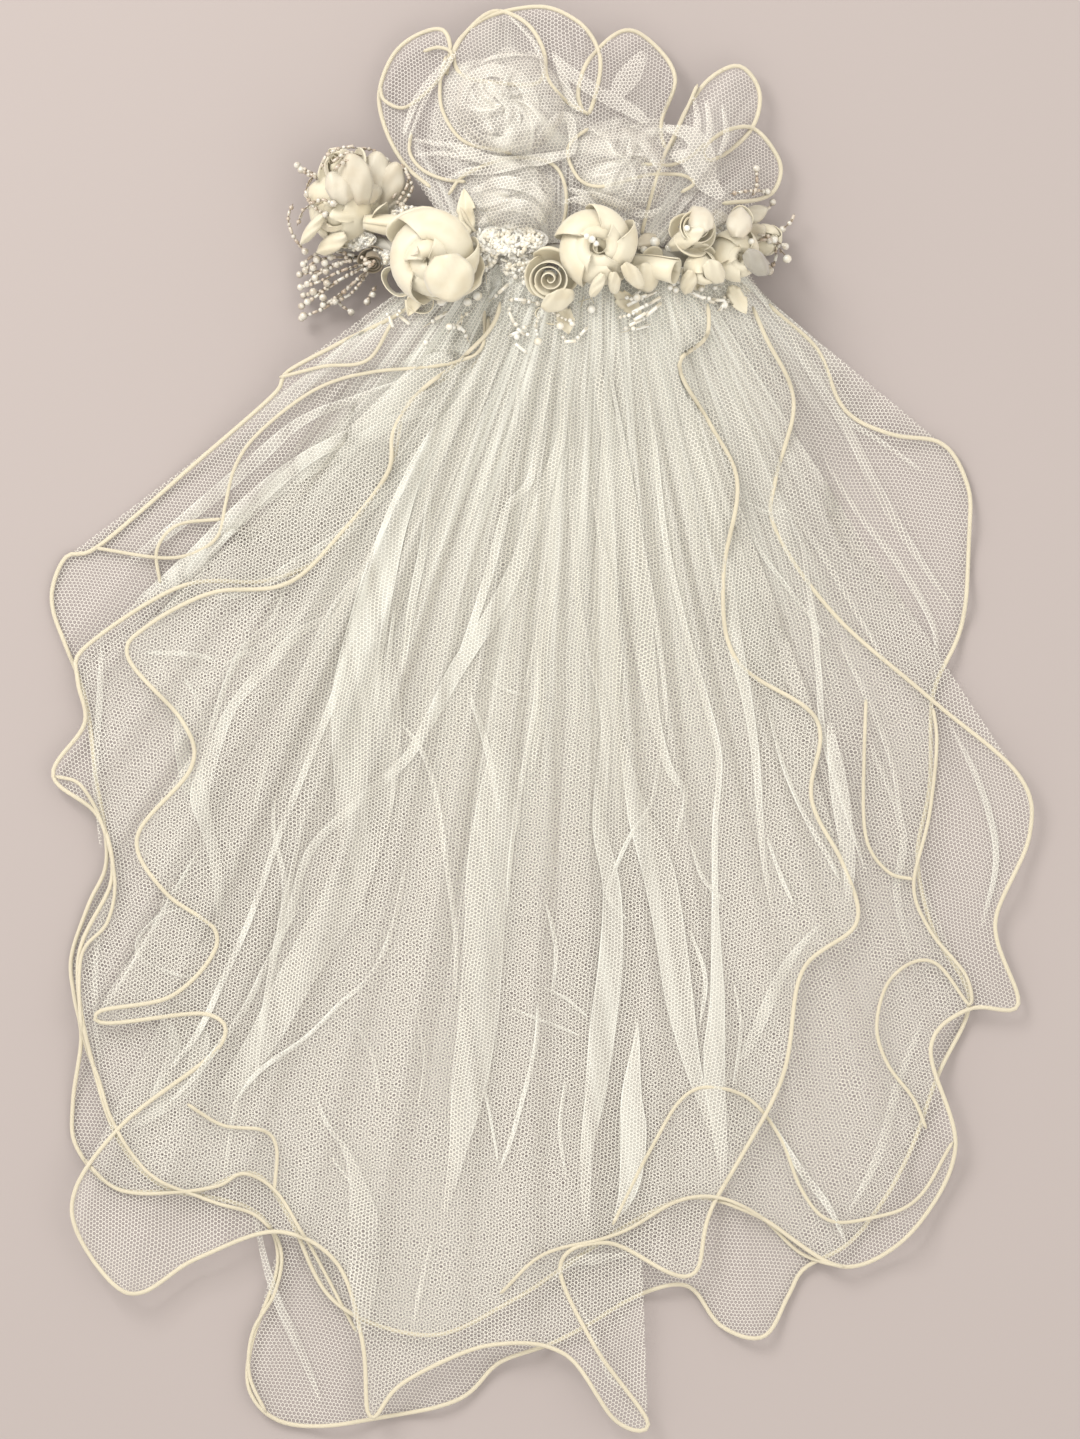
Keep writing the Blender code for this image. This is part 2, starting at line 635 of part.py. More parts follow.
def spray(name, root, tips):
    """Stems from a knot, with a pearl at each tip, rising a little between root and tip."""
    base = surface_of(*cloth, *roses, *leaves)
    knot_z = height_on(base, root[0], root[1], STEM_FEEL) + 2 * SEAM_GAP + KNOT_RADIUS
    bpy.ops.mesh.primitive_uv_sphere_add(
        segments=8,
        ring_count=5,
        radius=KNOT_RADIUS * MM,
        location=(root[0] * MM, root[1] * MM, knot_z * MM),
    )
    knot = bpy.context.active_object
    for holder in list(knot.users_collection):
        holder.objects.unlink(knot)
    veil.objects.link(knot)
    bpy.ops.object.transform_apply(location=True)
    pieces = [knot]
    for tip in tips:
        tip_z = height_on(base, tip[0], tip[1], STEM_FEEL) + SEAM_GAP + PEARL_RADIUS
        line = []
        for share, _ in STEM_POINTS:
            x = root[0] + share * (tip[0] - root[0])
            y = root[1] + share * (tip[1] - root[1])
            z = knot_z + share * (tip_z - knot_z) + STEM_ARCH * math.sin(math.pi * share)
            floor = height_on(base, x, y, STEM_CLEARANCE) + SEAM_GAP + PEARL_RADIUS
            line.append((x, y, max(z, floor)))
        pieces.append(solid_tube(line, STEM_RADIUS, [r / STEM_RADIUS for _, r in STEM_POINTS]))
    fuse(name, pieces)


for row in SPRAYS:
    spray(*row)
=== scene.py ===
import math
import random

import bpy
import numpy as np
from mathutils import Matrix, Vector
from mathutils.bvhtree import BVHTree


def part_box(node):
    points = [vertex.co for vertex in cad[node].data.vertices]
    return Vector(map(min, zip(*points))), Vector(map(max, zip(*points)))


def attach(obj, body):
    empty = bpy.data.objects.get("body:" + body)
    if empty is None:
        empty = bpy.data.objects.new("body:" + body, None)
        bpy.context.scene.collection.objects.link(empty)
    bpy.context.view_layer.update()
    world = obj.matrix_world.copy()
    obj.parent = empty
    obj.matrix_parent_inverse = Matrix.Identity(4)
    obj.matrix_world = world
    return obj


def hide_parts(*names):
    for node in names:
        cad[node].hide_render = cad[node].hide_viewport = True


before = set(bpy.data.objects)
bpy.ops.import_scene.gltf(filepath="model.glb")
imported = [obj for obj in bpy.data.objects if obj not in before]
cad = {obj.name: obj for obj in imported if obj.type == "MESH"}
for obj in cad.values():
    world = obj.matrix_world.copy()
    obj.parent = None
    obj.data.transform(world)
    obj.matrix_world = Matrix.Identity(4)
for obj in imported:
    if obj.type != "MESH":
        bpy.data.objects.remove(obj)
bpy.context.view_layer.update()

# Table top, camera and light. The veil lies on a plain pale surface and is seen from straight above,
# through a long lens, in the soft light of a large window above it on the left.
bpy.ops.object.select_all(action="DESELECT")
bpy.ops.mesh.primitive_plane_add(size=6.0, location=(0.0, 0.0, -0.0006))
table_top = bpy.context.active_object
table_top.name = "table_top"
table_finish = bpy.data.materials.new("pale_table")
table_finish.use_nodes = True
table_shader = table_finish.node_tree.nodes["Principled BSDF"]
table_shader.inputs["Base Color"].default_value = (0.52, 0.45, 0.42, 1.0)
table_shader.inputs["Roughness"].default_value = 0.9
table_top.data.materials.append(table_finish)

LENS = 150.0
SENSOR_HEIGHT = 36.0
SEEN_HEIGHT = 0.7915
TRUE_SCALE_HEIGHT = 0.03
camera_data = bpy.data.cameras.new("overhead")
camera_data.sensor_fit = "VERTICAL"
camera_data.sensor_height = SENSOR_HEIGHT
camera_data.lens = LENS
camera_data.clip_end = 20.0
camera = bpy.data.objects.new("overhead", camera_data)
camera.location = (0.0, 0.0, TRUE_SCALE_HEIGHT + SEEN_HEIGHT * LENS / SENSOR_HEIGHT)
scene = bpy.context.scene
scene.collection.objects.link(camera)
scene.camera = camera

room = bpy.data.worlds.new("pale_room")
room.use_nodes = True
room.node_tree.nodes["Background"].inputs["Color"].default_value = (1.0, 0.985, 0.96, 1.0)
room.node_tree.nodes["Background"].inputs["Strength"].default_value = 0.85
scene.world = room
for name, place, aim, size, power in (
    ("window", (-1.3, 1.5, 1.9), (0.0, 0.05, 0.0), 1.2, 36.0),
    ("room_fill", (1.6, -0.6, 2.2), (0.0, 0.0, 0.0), 2.0, 9.0),
):
    lamp_data = bpy.data.lights.new(name, "AREA")
    lamp_data.size = size
    lamp_data.energy = power
    lamp = bpy.data.objects.new(name, lamp_data)
    lamp.location = place
    lamp.rotation_euler = (Vector(aim) - Vector(place)).to_track_quat("-Z", "Y").to_euler()
    scene.collection.objects.link(lamp)
scene.view_settings.view_transform = "Standard"
scene.cycles.transparent_max_bounces = 24
scene.cycles.max_bounces = 3
scene.cycles.diffuse_bounces = 1
scene.cycles.glossy_bounces = 1


# Net tiers: three gathered lengths of ivory hexagonal net, sewn in pleats under the band and spread out
# over each other. Each is one sheet from its gathers to its fluted hem, and folds back on itself there.
PIXEL = 0.00055
PHOTO_MIDDLE = (540.0, 720.0)
MM = 0.001


def on_photo(px, py):
    """Place on the table, in metres, of a pixel of the photograph."""
    return (px - PHOTO_MIDDLE[0]) * PIXEL, (PHOTO_MIDDLE[1] - py) * PIXEL


def run_along(line):
    """How far along a line each of its points lies."""
    return np.concatenate([[0.0], np.cumsum(np.linalg.norm(np.diff(line, axis=0), axis=1))])


def directed(steps):
    """Each step at a length of one."""
    return steps / np.maximum(np.linalg.norm(steps, axis=1), 1e-9)[:, None]


def evenly(line, count):
    """The same line as this many points at even spacing."""
    run = run_along(line)
    at = np.linspace(0.0, run[-1], count)
    return np.stack([np.interp(at, run, line[:, k]) for k in range(line.shape[1])], axis=1)


def flowing_line(rows, count):
    """Points at even spacing along a smooth line through the rows."""
    points = np.array(rows, float)
    padded = np.concatenate([2 * points[:1] - points[1:2], points, 2 * points[-1:] - points[-2:-1]])
    t = np.linspace(0, 1, 9)[:-1, None]
    drawn = []
    for a, b, c, d in zip(padded, padded[1:], padded[2:], padded[3:]):
        bend, twist = 2 * a - 5 * b + 4 * c - d, 3 * b - a - 3 * c + d
        drawn.append(0.5 * (2 * b + (c - a) * t + bend * t**2 + twist * t**3))
    return evenly(np.concatenate(drawn + [padded[-2:-1]]), count)


def photo_line(rows, count):
    """A smooth line on the table through pixels of the photograph."""
    return flowing_line([on_photo(*row) for row in rows], count)


def lying_surface(*names):
    """The faces of solids, to lay cloth on."""
    points, faces = [], []
    for name in names:
        start = len(points)
        points += [v.co.copy() for v in cad[name].data.vertices]
        faces += [[start + v for v in p.vertices] for p in cad[name].data.polygons]
    return BVHTree.FromPolygons(points, faces)


def height_at(surface, x, y, otherwise=0.0):
    """Height of a surface over a place, or of its nearest point."""
    hit = surface.ray_cast(Vector((x, y, 1.0)), Vector((0, 0, -1)))[0]
    if hit:
        return hit.z
    near = surface.find_nearest(Vector((x, y, 0.01)), 0.03)[0]
    return near.z if near else otherwise


def heights_at(surface, x, y):
    """Heights of a surface over an array of places."""
    found = [height_at(surface, a, b) for a, b in zip(x.reshape(-1), y.reshape(-1))]
    return np.array(found).reshape(x.shape)


def grid_faces(start, rows, columns):
    """The faces of a grid of points that are numbered from a start."""
    index = start + np.arange(rows * columns).reshape(rows, columns)
    corners = [index[:-1, :-1], index[1:, :-1], index[1:, 1:], index[:-1, 1:]]
    return np.stack(corners, axis=-1).reshape(-1, 4)


def mesh_piece(name, points, faces, material, node=None, corner_uv=None):
    """A piece on the veil's one body, with the map of its flat cloth, in the place of a solid if it has one."""
    mesh = bpy.data.meshes.new(name)
    mesh.from_pydata(points, [], faces)
    if corner_uv is not None:
        cloth_map = mesh.uv_layers.new(name="cloth")
        cloth_map.data.foreach_set("uv", np.array(corner_uv, np.float32).reshape(-1))
    mesh.shade_smooth()
    mesh.materials.append(material)
    made = bpy.data.objects.new(name, mesh)
    scene.collection.objects.link(made)
    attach(made, "root")
    if node:
        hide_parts(node)
    return made


def cloth_grid(name, grids, material, node=None):
    """A sheet from grids of places, each with its cloth coordinates and how many layers are pressed there."""
    faces, start = [], 0
    for places, _, _ in grids:
        faces.append(grid_faces(start, *places.shape[:2]))
        start += places.shape[0] * places.shape[1]
    faces = np.concatenate(faces)
    points = np.concatenate([places.reshape(-1, 3) for places, _, _ in grids]).tolist()
    corners = np.concatenate([flat.reshape(-1, 2) for _, flat, _ in grids])[faces.reshape(-1)]
    made = mesh_piece(name, points, faces.tolist(), material, node, corners)
    pressed = made.data.attributes.new("layers", "FLOAT", "POINT")
    values = np.concatenate([layers.reshape(-1) for _, _, layers in grids])
    pressed.data.foreach_set("value", values.astype(np.float32))
    return made


def new_finish(name):
    """A material, its node tree and its shader."""
    made = bpy.data.materials.new(name)
    made.use_nodes = True
    return made, made.node_tree, made.node_tree.nodes["Principled BSDF"]


def knot(tree, kind, *inputs, out=0, **settings):
    """One output of a new node that has its inputs given in order, as links or values."""
    made = tree.nodes.new(kind)
    for key, value in settings.items():
        setattr(made, key, value)
    for socket, value in zip(made.inputs, inputs):
        if isinstance(value, bpy.types.NodeSocket):
            tree.links.new(value, socket)
        elif value is not None:
            socket.default_value = value
    return made.outputs[out]


def arithmetic(tree, operation, first, second):
    """Two numbers or links worked out as one."""
    return knot(tree, "ShaderNodeMath", first, second, operation=operation)


def on_vectors(tree, operation, first, second=None, out=0):
    """Two vectors or links worked out as one."""
    return knot(tree, "ShaderNodeVectorMath", first, second, out=out, operation=operation)


def noise(tree, place, scale, detail=2.0, out="Fac"):
    """Soft noise over a place."""
    made = tree.nodes.new("ShaderNodeTexNoise")
    made.inputs["Scale"].default_value = scale
    made.inputs["Detail"].default_value = detail
    tree.links.new(place, made.inputs["Vector"])
    return made.outputs[out]


def own_place(tree):
    """Place in the piece's own axes."""
    return tree.nodes.new("ShaderNodeTexCoord").outputs["Object"]


def ranged(tree, value, low, high, first, last, **settings):
    """A value between low and high turned into one between first and last."""
    return knot(tree, "ShaderNodeMapRange", value, low, high, first, last, **settings)


def flat_cloth(tree, across, along):
    """Place on the flat cloth, scaled across and along it."""
    cloth = knot(tree, "ShaderNodeUVMap", uv_map="cloth")
    return knot(tree, "ShaderNodeMapping", cloth, None, None, (across, along, 1.0))


def coloured(tree, shader, share, first, second, painted_glow=0.0):
    """Colour from the first to the second, and how strong a painted glow in that colour is: light of the
    surface's own that lifts its shade.
    """
    ends = [None] * 5 + [(*first, 1.0), (*second, 1.0)]
    tone = knot(tree, "ShaderNodeMix", share, *ends, out=2, data_type="RGBA")
    tree.links.new(tone, shader.inputs["Base Color"])
    # Painted glow: emission in the surface's own colour, standing in for light that reaches its shaded parts.
    if painted_glow:
        tree.links.new(tone, shader.inputs["Emission Color"])
        shader.inputs["Emission Strength"].default_value = painted_glow


def relief(tree, shader, height, strength, depth):
    """Ridges in the shading."""
    made = tree.nodes.new("ShaderNodeBump")
    made.inputs["Strength"].default_value = strength
    made.inputs["Distance"].default_value = depth
    tree.links.new(height, made.inputs["Height"])
    tree.links.new(made.outputs["Normal"], shader.inputs["Normal"])


NET_PITCH = 0.0021
HALF_CELL = (0.5, 3**0.5 / 2, 0.0)


def net_finish(name, turn, thread, open_colour=(0.98, 0.93, 0.81), dense_colour=(0.96, 0.95, 0.85)):
    """Hexagonal net: threads round open cells, closing to white where the folds press together."""
    made, tree, shader = new_finish(name)
    place = own_place(tree)
    drift = on_vectors(tree, "MULTIPLY", noise(tree, place, 26.0, 0.0, "Color"), (0.006, 0.006, 0.0))
    place = on_vectors(tree, "ADD", place, drift)
    shift, scale = (400.0, 400.0, 0.0), (1 / NET_PITCH, 1 / NET_PITCH, 0.0)
    place = knot(tree, "ShaderNodeMapping", place, shift, (0.0, 0.0, turn), scale)
    step = (1.0, 3**0.5, 1.0)
    # The cells' middles lie on two grids, and the nearer of the two holds the place
    one = on_vectors(tree, "SUBTRACT", on_vectors(tree, "MODULO", place, step), HALF_CELL)
    two = on_vectors(tree, "MODULO", on_vectors(tree, "ADD", place, HALF_CELL), step)
    two = on_vectors(tree, "SUBTRACT", two, HALF_CELL)
    far_one = on_vectors(tree, "DOT_PRODUCT", one, one, "Value")
    far_two = on_vectors(tree, "DOT_PRODUCT", two, two, "Value")
    nearer = arithmetic(tree, "LESS_THAN", far_two, far_one)
    cell = knot(tree, "ShaderNodeMix", nearer, None, None, None, one, two, out=1, data_type="VECTOR")
    cell = on_vectors(tree, "ABSOLUTE", cell)
    slant = on_vectors(tree, "DOT_PRODUCT", cell, HALF_CELL, "Value")
    across = arithmetic(tree, "MAXIMUM", slant, knot(tree, "ShaderNodeSeparateXYZ", cell))
    edge = (0.5 - thread * 1.35, 0.5 - thread * 0.75)
    threads = ranged(tree, across, *edge, 0.0, 1.0, interpolation_type="SMOOTHSTEP")
    layers = knot(tree, "ShaderNodeAttribute", out="Fac", attribute_name="layers")
    more = arithmetic(tree, "MAXIMUM", arithmetic(tree, "SUBTRACT", layers, 1.0), 0.0)
    fine = noise(tree, flat_cloth(tree, 120.0, 5.0), 1.0, 1.5)
    more = arithmetic(tree, "MULTIPLY", more, ranged(tree, fine, 0.36, 0.7, 0.35, 1.75))
    broad = noise(tree, flat_cloth(tree, 17.0, 3.4), 1.0, 0.0)
    more = arithmetic(tree, "MULTIPLY", more, ranged(tree, broad, 0.33, 0.67, 0.4, 1.55))
    haze = arithmetic(tree, "SUBTRACT", 1.0, arithmetic(tree, "POWER", 0.86, more))
    both = arithmetic(tree, "MAXIMUM", threads, haze)
    both = arithmetic(tree, "MULTIPLY", both, arithmetic(tree, "MINIMUM", layers, 1.0))
    tree.links.new(arithmetic(tree, "MINIMUM", both, 0.97), shader.inputs["Alpha"])
    # Painted glow: the net gives off a little light in its own colour, which lifts the shade between its
    # layers.
    coloured(tree, shader, haze, open_colour, dense_colour, 0.06)
    shader.inputs["Roughness"].default_value = 0.8
    return made


TIER_COLUMNS = 700
TIER_ROWS = 50
TIER_FULLNESS = 1.15
BAND_RADIUS = 0.005
BESIDE_BAND = 0.0053
BAND_LINE = (
    (-0.107, 0.267, 0.0054), (-0.088, 0.261, 0.025), (-0.062, 0.255, 0.04), (-0.024, 0.254, 0.049),
    (0.011, 0.255, 0.052), (0.044, 0.255, 0.051), (0.077, 0.253, 0.043), (0.104, 0.253, 0.028),
    (0.121, 0.254, 0.0054),
)
band_points = flowing_line(BAND_LINE, 90)

# Outlines of the hems in millimetres, from the left end of the gathers round to the right end
BOTTOM_HEM = (
    (-63, 252), (-70, 228), (-107, 209), (-140, 192), (-147, 180), (-191, 142), (-245, 96), (-262, 91),
    (-270, 75), (-270, 60), (-263, 41), (-252, 11), (-246, -33), (-240, -77), (-250, -102), (-260, -132),
    (-258, -154), (-254, -176), (-259, -212), (-257, -237), (-235, -260), (-202, -262), (-159, -272),
    (-145, -300), (-160, -346), (-160, -374), (-138, -391), (-94, -388), (-45, -377), (-22, -356), (11, -344),
    (55, -319), (82, -314), (100, -336), (124, -342), (138, -319), (147, -304), (176, -286), (204, -242),
    (220, -198), (238, -156), (218, -117), (209, -77), (216, -38), (218, 14), (234, 53), (238, 105),
    (237, 130), (223, 153), (194, 158), (168, 172), (153, 205), (127, 228), (114, 252),
)
MIDDLE_HEM = (
    (-34, 251), (-28, 221), (-34, 197), (-57, 185), (-74, 172), (-84, 136), (-117, 94), (-150, 77), (-198, 74),
    (-252, 40), (-256, 22), (-252, -2), (-270, -31), (-245, -53), (-237, -88), (-256, -134), (-245, -201),
    (-226, -244), (-195, -262), (-159, -251), (-138, -277), (-114, -322), (-61, -341), (-11, -319), (40, -285),
    (82, -265), (119, -274), (168, -303), (207, -282), (230, -237), (216, -182), (238, -160), (265, -158),
    (252, -113), (271, -65), (265, -31), (218, 10), (164, 57), (130, 105), (130, 132), (140, 176), (123, 212),
    (107, 251),
)
TOP_HEM = (
    (-22, 251), (-23, 221), (-38, 202), (-68, 178), (-81, 158), (-84, 136), (-110, 103), (-140, 75),
    (-182, 70), (-218, 51), (-228, 34), (-197, -2), (-193, -27), (-223, -65), (-207, -96), (-178, -120),
    (-202, -152), (-243, -161), (-239, -168), (-183, -163), (-178, -182), (-233, -226), (-259, -272),
    (-228, -317), (-190, -298), (-145, -283), (-112, -301), (-98, -344), (-94, -387), (-76, -367), (-28, -346),
    (14, -351), (42, -388), (60, -389), (30, -346), (11, -302), (37, -289), (83, -308), (95, -270),
    (133, -201), (145, -139), (175, -113), (168, -81), (150, -44), (153, 0), (109, 32), (101, 77), (109, 130),
    (94, 162), (76, 194), (92, 212), (88, 251),
)
FAN_CENTRE = (0.024, 0.341)


def along_band(x, across):
    """Places beside the band: in front of it for less than none, behind it for more."""
    return np.stack([x, np.interp(x, band_points[:, 0], band_points[:, 1]) + across], axis=1)


def fan_roots(edge):
    """Where the columns of a tier are gathered under the band, in the order of the folds below them."""
    bearing = np.arctan2(edge[:, 0] - FAN_CENTRE[0], FAN_CENTRE[1] - edge[:, 1])
    steady = (np.maximum.accumulate(bearing) + np.minimum.accumulate(bearing[::-1])[::-1]) / 2
    share = (steady - steady[0]) / (steady[-1] - steady[0])
    share = 0.7 * share + 0.3 * np.linspace(0, 1, len(edge))
    return along_band(edge[0, 0] + share * (edge[-1, 0] - edge[0, 0]), -BESIDE_BAND)


LIP = 0.0007
THINNEST_FOLD = 0.0002
STRIP_STEPS = 7
NET_GAP = 0.0003
FOLD_LIFT = 0.0022
# Share of a fold's layers pressed together from one edge to the other
FOLD_SECTION = (1.0, 0, 0, 0, 0, 0, 0.8)


def fold_strip(fold, surface, above):
    """One fold: a strip of pressed layers with a brighter line along both its edges."""
    inner, outer, rows = fold
    seen = [(*on_photo(px, py), wide * PIXEL / 2) for px, py, wide in rows]
    line = flowing_line(seen, STRIP_STEPS * len(rows))
    ahead = directed(np.gradient(line[:, :2], axis=0))
    half = np.maximum(line[:, 2], THINNEST_FOLD)
    lip = np.minimum(0.9, LIP / half)
    lines = [-1 + 0 * lip, lip - 1, (lip - 1) / 2, 0 * lip, (1 - lip) / 2, 1 - lip, 1 + 0 * lip]
    spread = np.stack(lines, axis=1)
    x = line[:, :1] - spread * half[:, None] * ahead[:, 1:]
    y = line[:, 1:2] + spread * half[:, None] * ahead[:, :1]
    crown = heights_at(surface, x, y) + above + LIP * np.cos(spread * math.pi / 2)
    along = np.linspace(0, 1, len(line))[:, None]
    fade = np.clip(np.minimum(along, 1 - along) * 9, 0, 1) ** 0.7
    pressed = inner + (outer - inner) * np.array(FOLD_SECTION)
    return np.stack([x, y, crown], axis=-1), np.stack([x * 0.7 + y * 0.1, y], axis=-1), pressed * fade


def gathered_net(name, node, edge, roots, rows, fullness, pleats, pressed, folds, material, seed):
    """A gathered sheet: columns run from the gathers to the edge and bunch together into pleats on the way."""
    surface = lying_surface(node)
    columns = len(edge)
    cloth_width = run_along(edge)[-1] * fullness
    u = np.linspace(0.0, 1.0, columns)
    dice = random.Random(seed)
    waves = [(*pleat, dice.uniform(0, 6.3), dice.uniform(-2.2, 2.2), dice.uniform(0, 6.3)) for pleat in pleats]
    ends = np.minimum(1.0, np.minimum(u, 1 - u) * 40)
    places = np.zeros((rows, columns, 3))
    cloth = np.zeros((rows, columns, 2))
    layers = np.zeros((rows, columns))
    for i in range(rows):
        v = i / (rows - 1)
        slide = np.zeros(columns)
        lift = np.zeros(columns)
        for many, depth, rise, start, twist, beat in waves:
            uneven = 0.5 + 0.5 * np.sin(2 * math.pi * u * many * 0.23 + beat + 3.0 * v)
            phase = 2 * math.pi * many * u + start + twist * v + 2.3 * np.sin(11 * u + beat + 4 * v)
            slide += uneven * depth / (2 * math.pi * many) * np.sin(phase) * (1 - 0.4 * v)
            lift += uneven * rise * (1 + np.cos(phase)) * min(1.0, 0.35 + 2.2 * v) * (1 - 0.8 * v)
        at = np.clip(u + slide * ends, 0, 1)
        x, y = (np.interp(at, u, roots[:, k]) * (1 - v) + np.interp(at, u, edge[:, k]) * v for k in (0, 1))
        places[i] = np.stack([x, y, heights_at(surface, x, y) + NET_GAP + lift], axis=1)
        cloth[i, :, 0] = u * cloth_width
        cloth[i, :, 1] = v * np.linalg.norm(edge - roots, axis=1)
        bunched = np.median(np.gradient(x)) / np.maximum(np.hypot(np.gradient(x), np.gradient(y)), 1e-7)
        layers[i] = np.interp(v, *zip(*pressed)) * np.clip(0.75 + 0.25 * np.abs(bunched), 0.8, 1.5)
    grids = [(places, cloth, np.maximum(layers, 1.0))]
    grids += [fold_strip(fold, surface, FOLD_LIFT) for fold in folds]
    return cloth_grid(name, grids, material, node), places


# Pleats: how many, how deep and how high they stand
TIER_PLEATS = ((19, 0.8, 0.0004), (37, 0.7, 0.0004), (83, 0.7, 0.0003), (171, 0.4, 0.0001))
# How many layers of the gathered cloth lie pressed together, from the gathers (0) to the hem (1)
TIER_PRESSED = (
    (0.0, 9.0), (0.1, 5.6), (0.22, 4.2), (0.36, 2.9), (0.5, 1.8), (0.64, 1.2), (0.8, 1.0), (1.0, 1.0),
)
# Folds of each tier: layers inside and at the edge, then points along it with its width
BOTTOM_FOLDS = (
    (3.0, 6.0, ((449, 376, 4), (382, 418, 10), (306, 456, 14), (243, 507, 18), (190, 560, 20), (130, 610, 12))),
    (2.2, 6.0, ((433, 393, 3), (348, 439, 6), (294, 465, 6), (239, 515, 8), (196, 570, 8), (140, 640, 4))),
    (2.0, 5.0, ((430, 372, 3), (360, 396, 6), (300, 420, 10), (250, 462, 14), (180, 520, 12), (120, 566, 6))),
    (4.0, 8.0, ((137, 653, 2), (170, 653, 5), (199, 656, 5), (215, 663, 3))),
    (3.0, 7.0, ((217, 669, 2), (238, 656, 5), (258, 647, 7), (285, 630, 6), (310, 600, 3))),
    (2.4, 5.0, ((176, 700, 4), (178, 735, 14), (182, 775, 12), (186, 800, 4))),
    (3.0, 8.0, ((180, 676, 2), (196, 702, 4), (202, 734, 3))),
    (2.6, 6.0, ((100, 620, 3), (96, 700, 6), (92, 780, 6), (98, 850, 3))),
    (2.0, 5.0, ((120, 860, 2), (96, 930, 5), (92, 1000, 5), (96, 1080, 2))),
    (2.4, 6.0, ((786, 326, 3), (812, 372, 8), (850, 430, 10), (886, 500, 10), (930, 570, 6), (960, 610, 3))),
    (2.2, 6.0, ((812, 358, 3), (842, 412, 5), (880, 438, 5), (930, 474, 3))),
    (2.4, 6.0, ((822, 450, 3), (861, 513, 6), (900, 562, 8), (934, 620, 6), (940, 660, 3))),
    (2.4, 6.0, ((870, 740, 3), (905, 830, 7), (900, 900, 7), (920, 980, 4))),
    (2.4, 6.0, ((950, 720, 3), (985, 790, 6), (1000, 860, 6), (985, 930, 3))),
    (2.4, 6.0, ((930, 1010, 3), (900, 1090, 8), (880, 1160, 8), (850, 1220, 3))),
    (2.4, 6.0, ((250, 1210, 3), (270, 1290, 8), (300, 1360, 8), (320, 1410, 3))),
)
MIDDLE_FOLDS = (
    (3.2, 8.0, (
        (449, 407, 4), (400, 418, 10), (378, 430, 12), (340, 450, 12), (298, 475, 10), (250, 510, 8),
        (205, 557, 4))),
    (2.6, 7.0, ((425, 440, 3), (390, 485, 7), (345, 530, 10), (300, 560, 12), (250, 590, 8), (205, 600, 3))),
    (4.0, 9.0, (
        (331, 616, 4), (298, 632, 10), (265, 667, 12), (232, 705, 10), (213, 747, 14), (198, 793, 20),
        (203, 822, 14), (211, 851, 12), (216, 884, 10), (217, 920, 6), (212, 960, 2))),
    (3.4, 9.0, ((285, 583, 2), (270, 620, 5), (240, 650, 6), (218, 700, 5), (200, 760, 3))),
    (3.0, 8.0, ((357, 570, 3), (327, 616, 6), (306, 667, 8), (285, 720, 8), (262, 770, 6), (250, 830, 3))),
    (2.4, 8.0, ((199, 848, 2), (170, 897, 4), (137, 955, 4), (105, 1007, 3), (98, 1017, 2))),
    (2.0, 7.0, ((212, 829, 2), (228, 848, 4), (233, 868, 4), (225, 890, 2))),
    (2.0, 7.0, (
        (189, 910, 2), (160, 916, 3), (141, 933, 3), (134, 949, 3), (144, 965, 3), (170, 975, 3),
        (193, 981, 2))),
    (3.0, 6.0, ((195, 1020, 6), (200, 1045, 16), (188, 1080, 20), (165, 1105, 16), (130, 1130, 6))),
    (3.4, 7.0, ((165, 1020, 4), (172, 1050, 12), (160, 1085, 12), (148, 1105, 5))),
    (2.4, 7.0, ((223, 1176, 2), (229, 1130, 4), (238, 1095, 6), (254, 1047, 8), (264, 1004, 5), (280, 960, 2))),
    (2.4, 7.0, ((740, 498, 2), (769, 513, 4), (790, 511, 4), (815, 540, 6), (840, 580, 6), (887, 662, 3))),
    (2.2, 7.0, ((744, 507, 2), (761, 549, 4), (786, 583, 4), (830, 640, 3))),
    (2.4, 7.0, (
        (686, 340, 4), (714, 380, 10), (743, 430, 14), (759, 470, 16), (785, 530, 14), (811, 600, 8),
        (822, 667, 4))),
    (3.0, 8.0, ((799, 520, 2), (811, 591, 5), (820, 667, 6), (826, 740, 6), (850, 820, 4), (870, 880, 2))),
    (2.2, 6.0, ((840, 640, 3), (870, 700, 6), (893, 760, 5), (905, 830, 3))),
    (2.6, 7.0, ((825, 921, 2), (796, 956, 8), (780, 982, 11), (758, 1033, 11), (739, 1071, 4))),
    (2.4, 7.0, ((770, 1120, 2), (800, 1170, 7), (830, 1210, 6), (850, 1250, 2))),
)
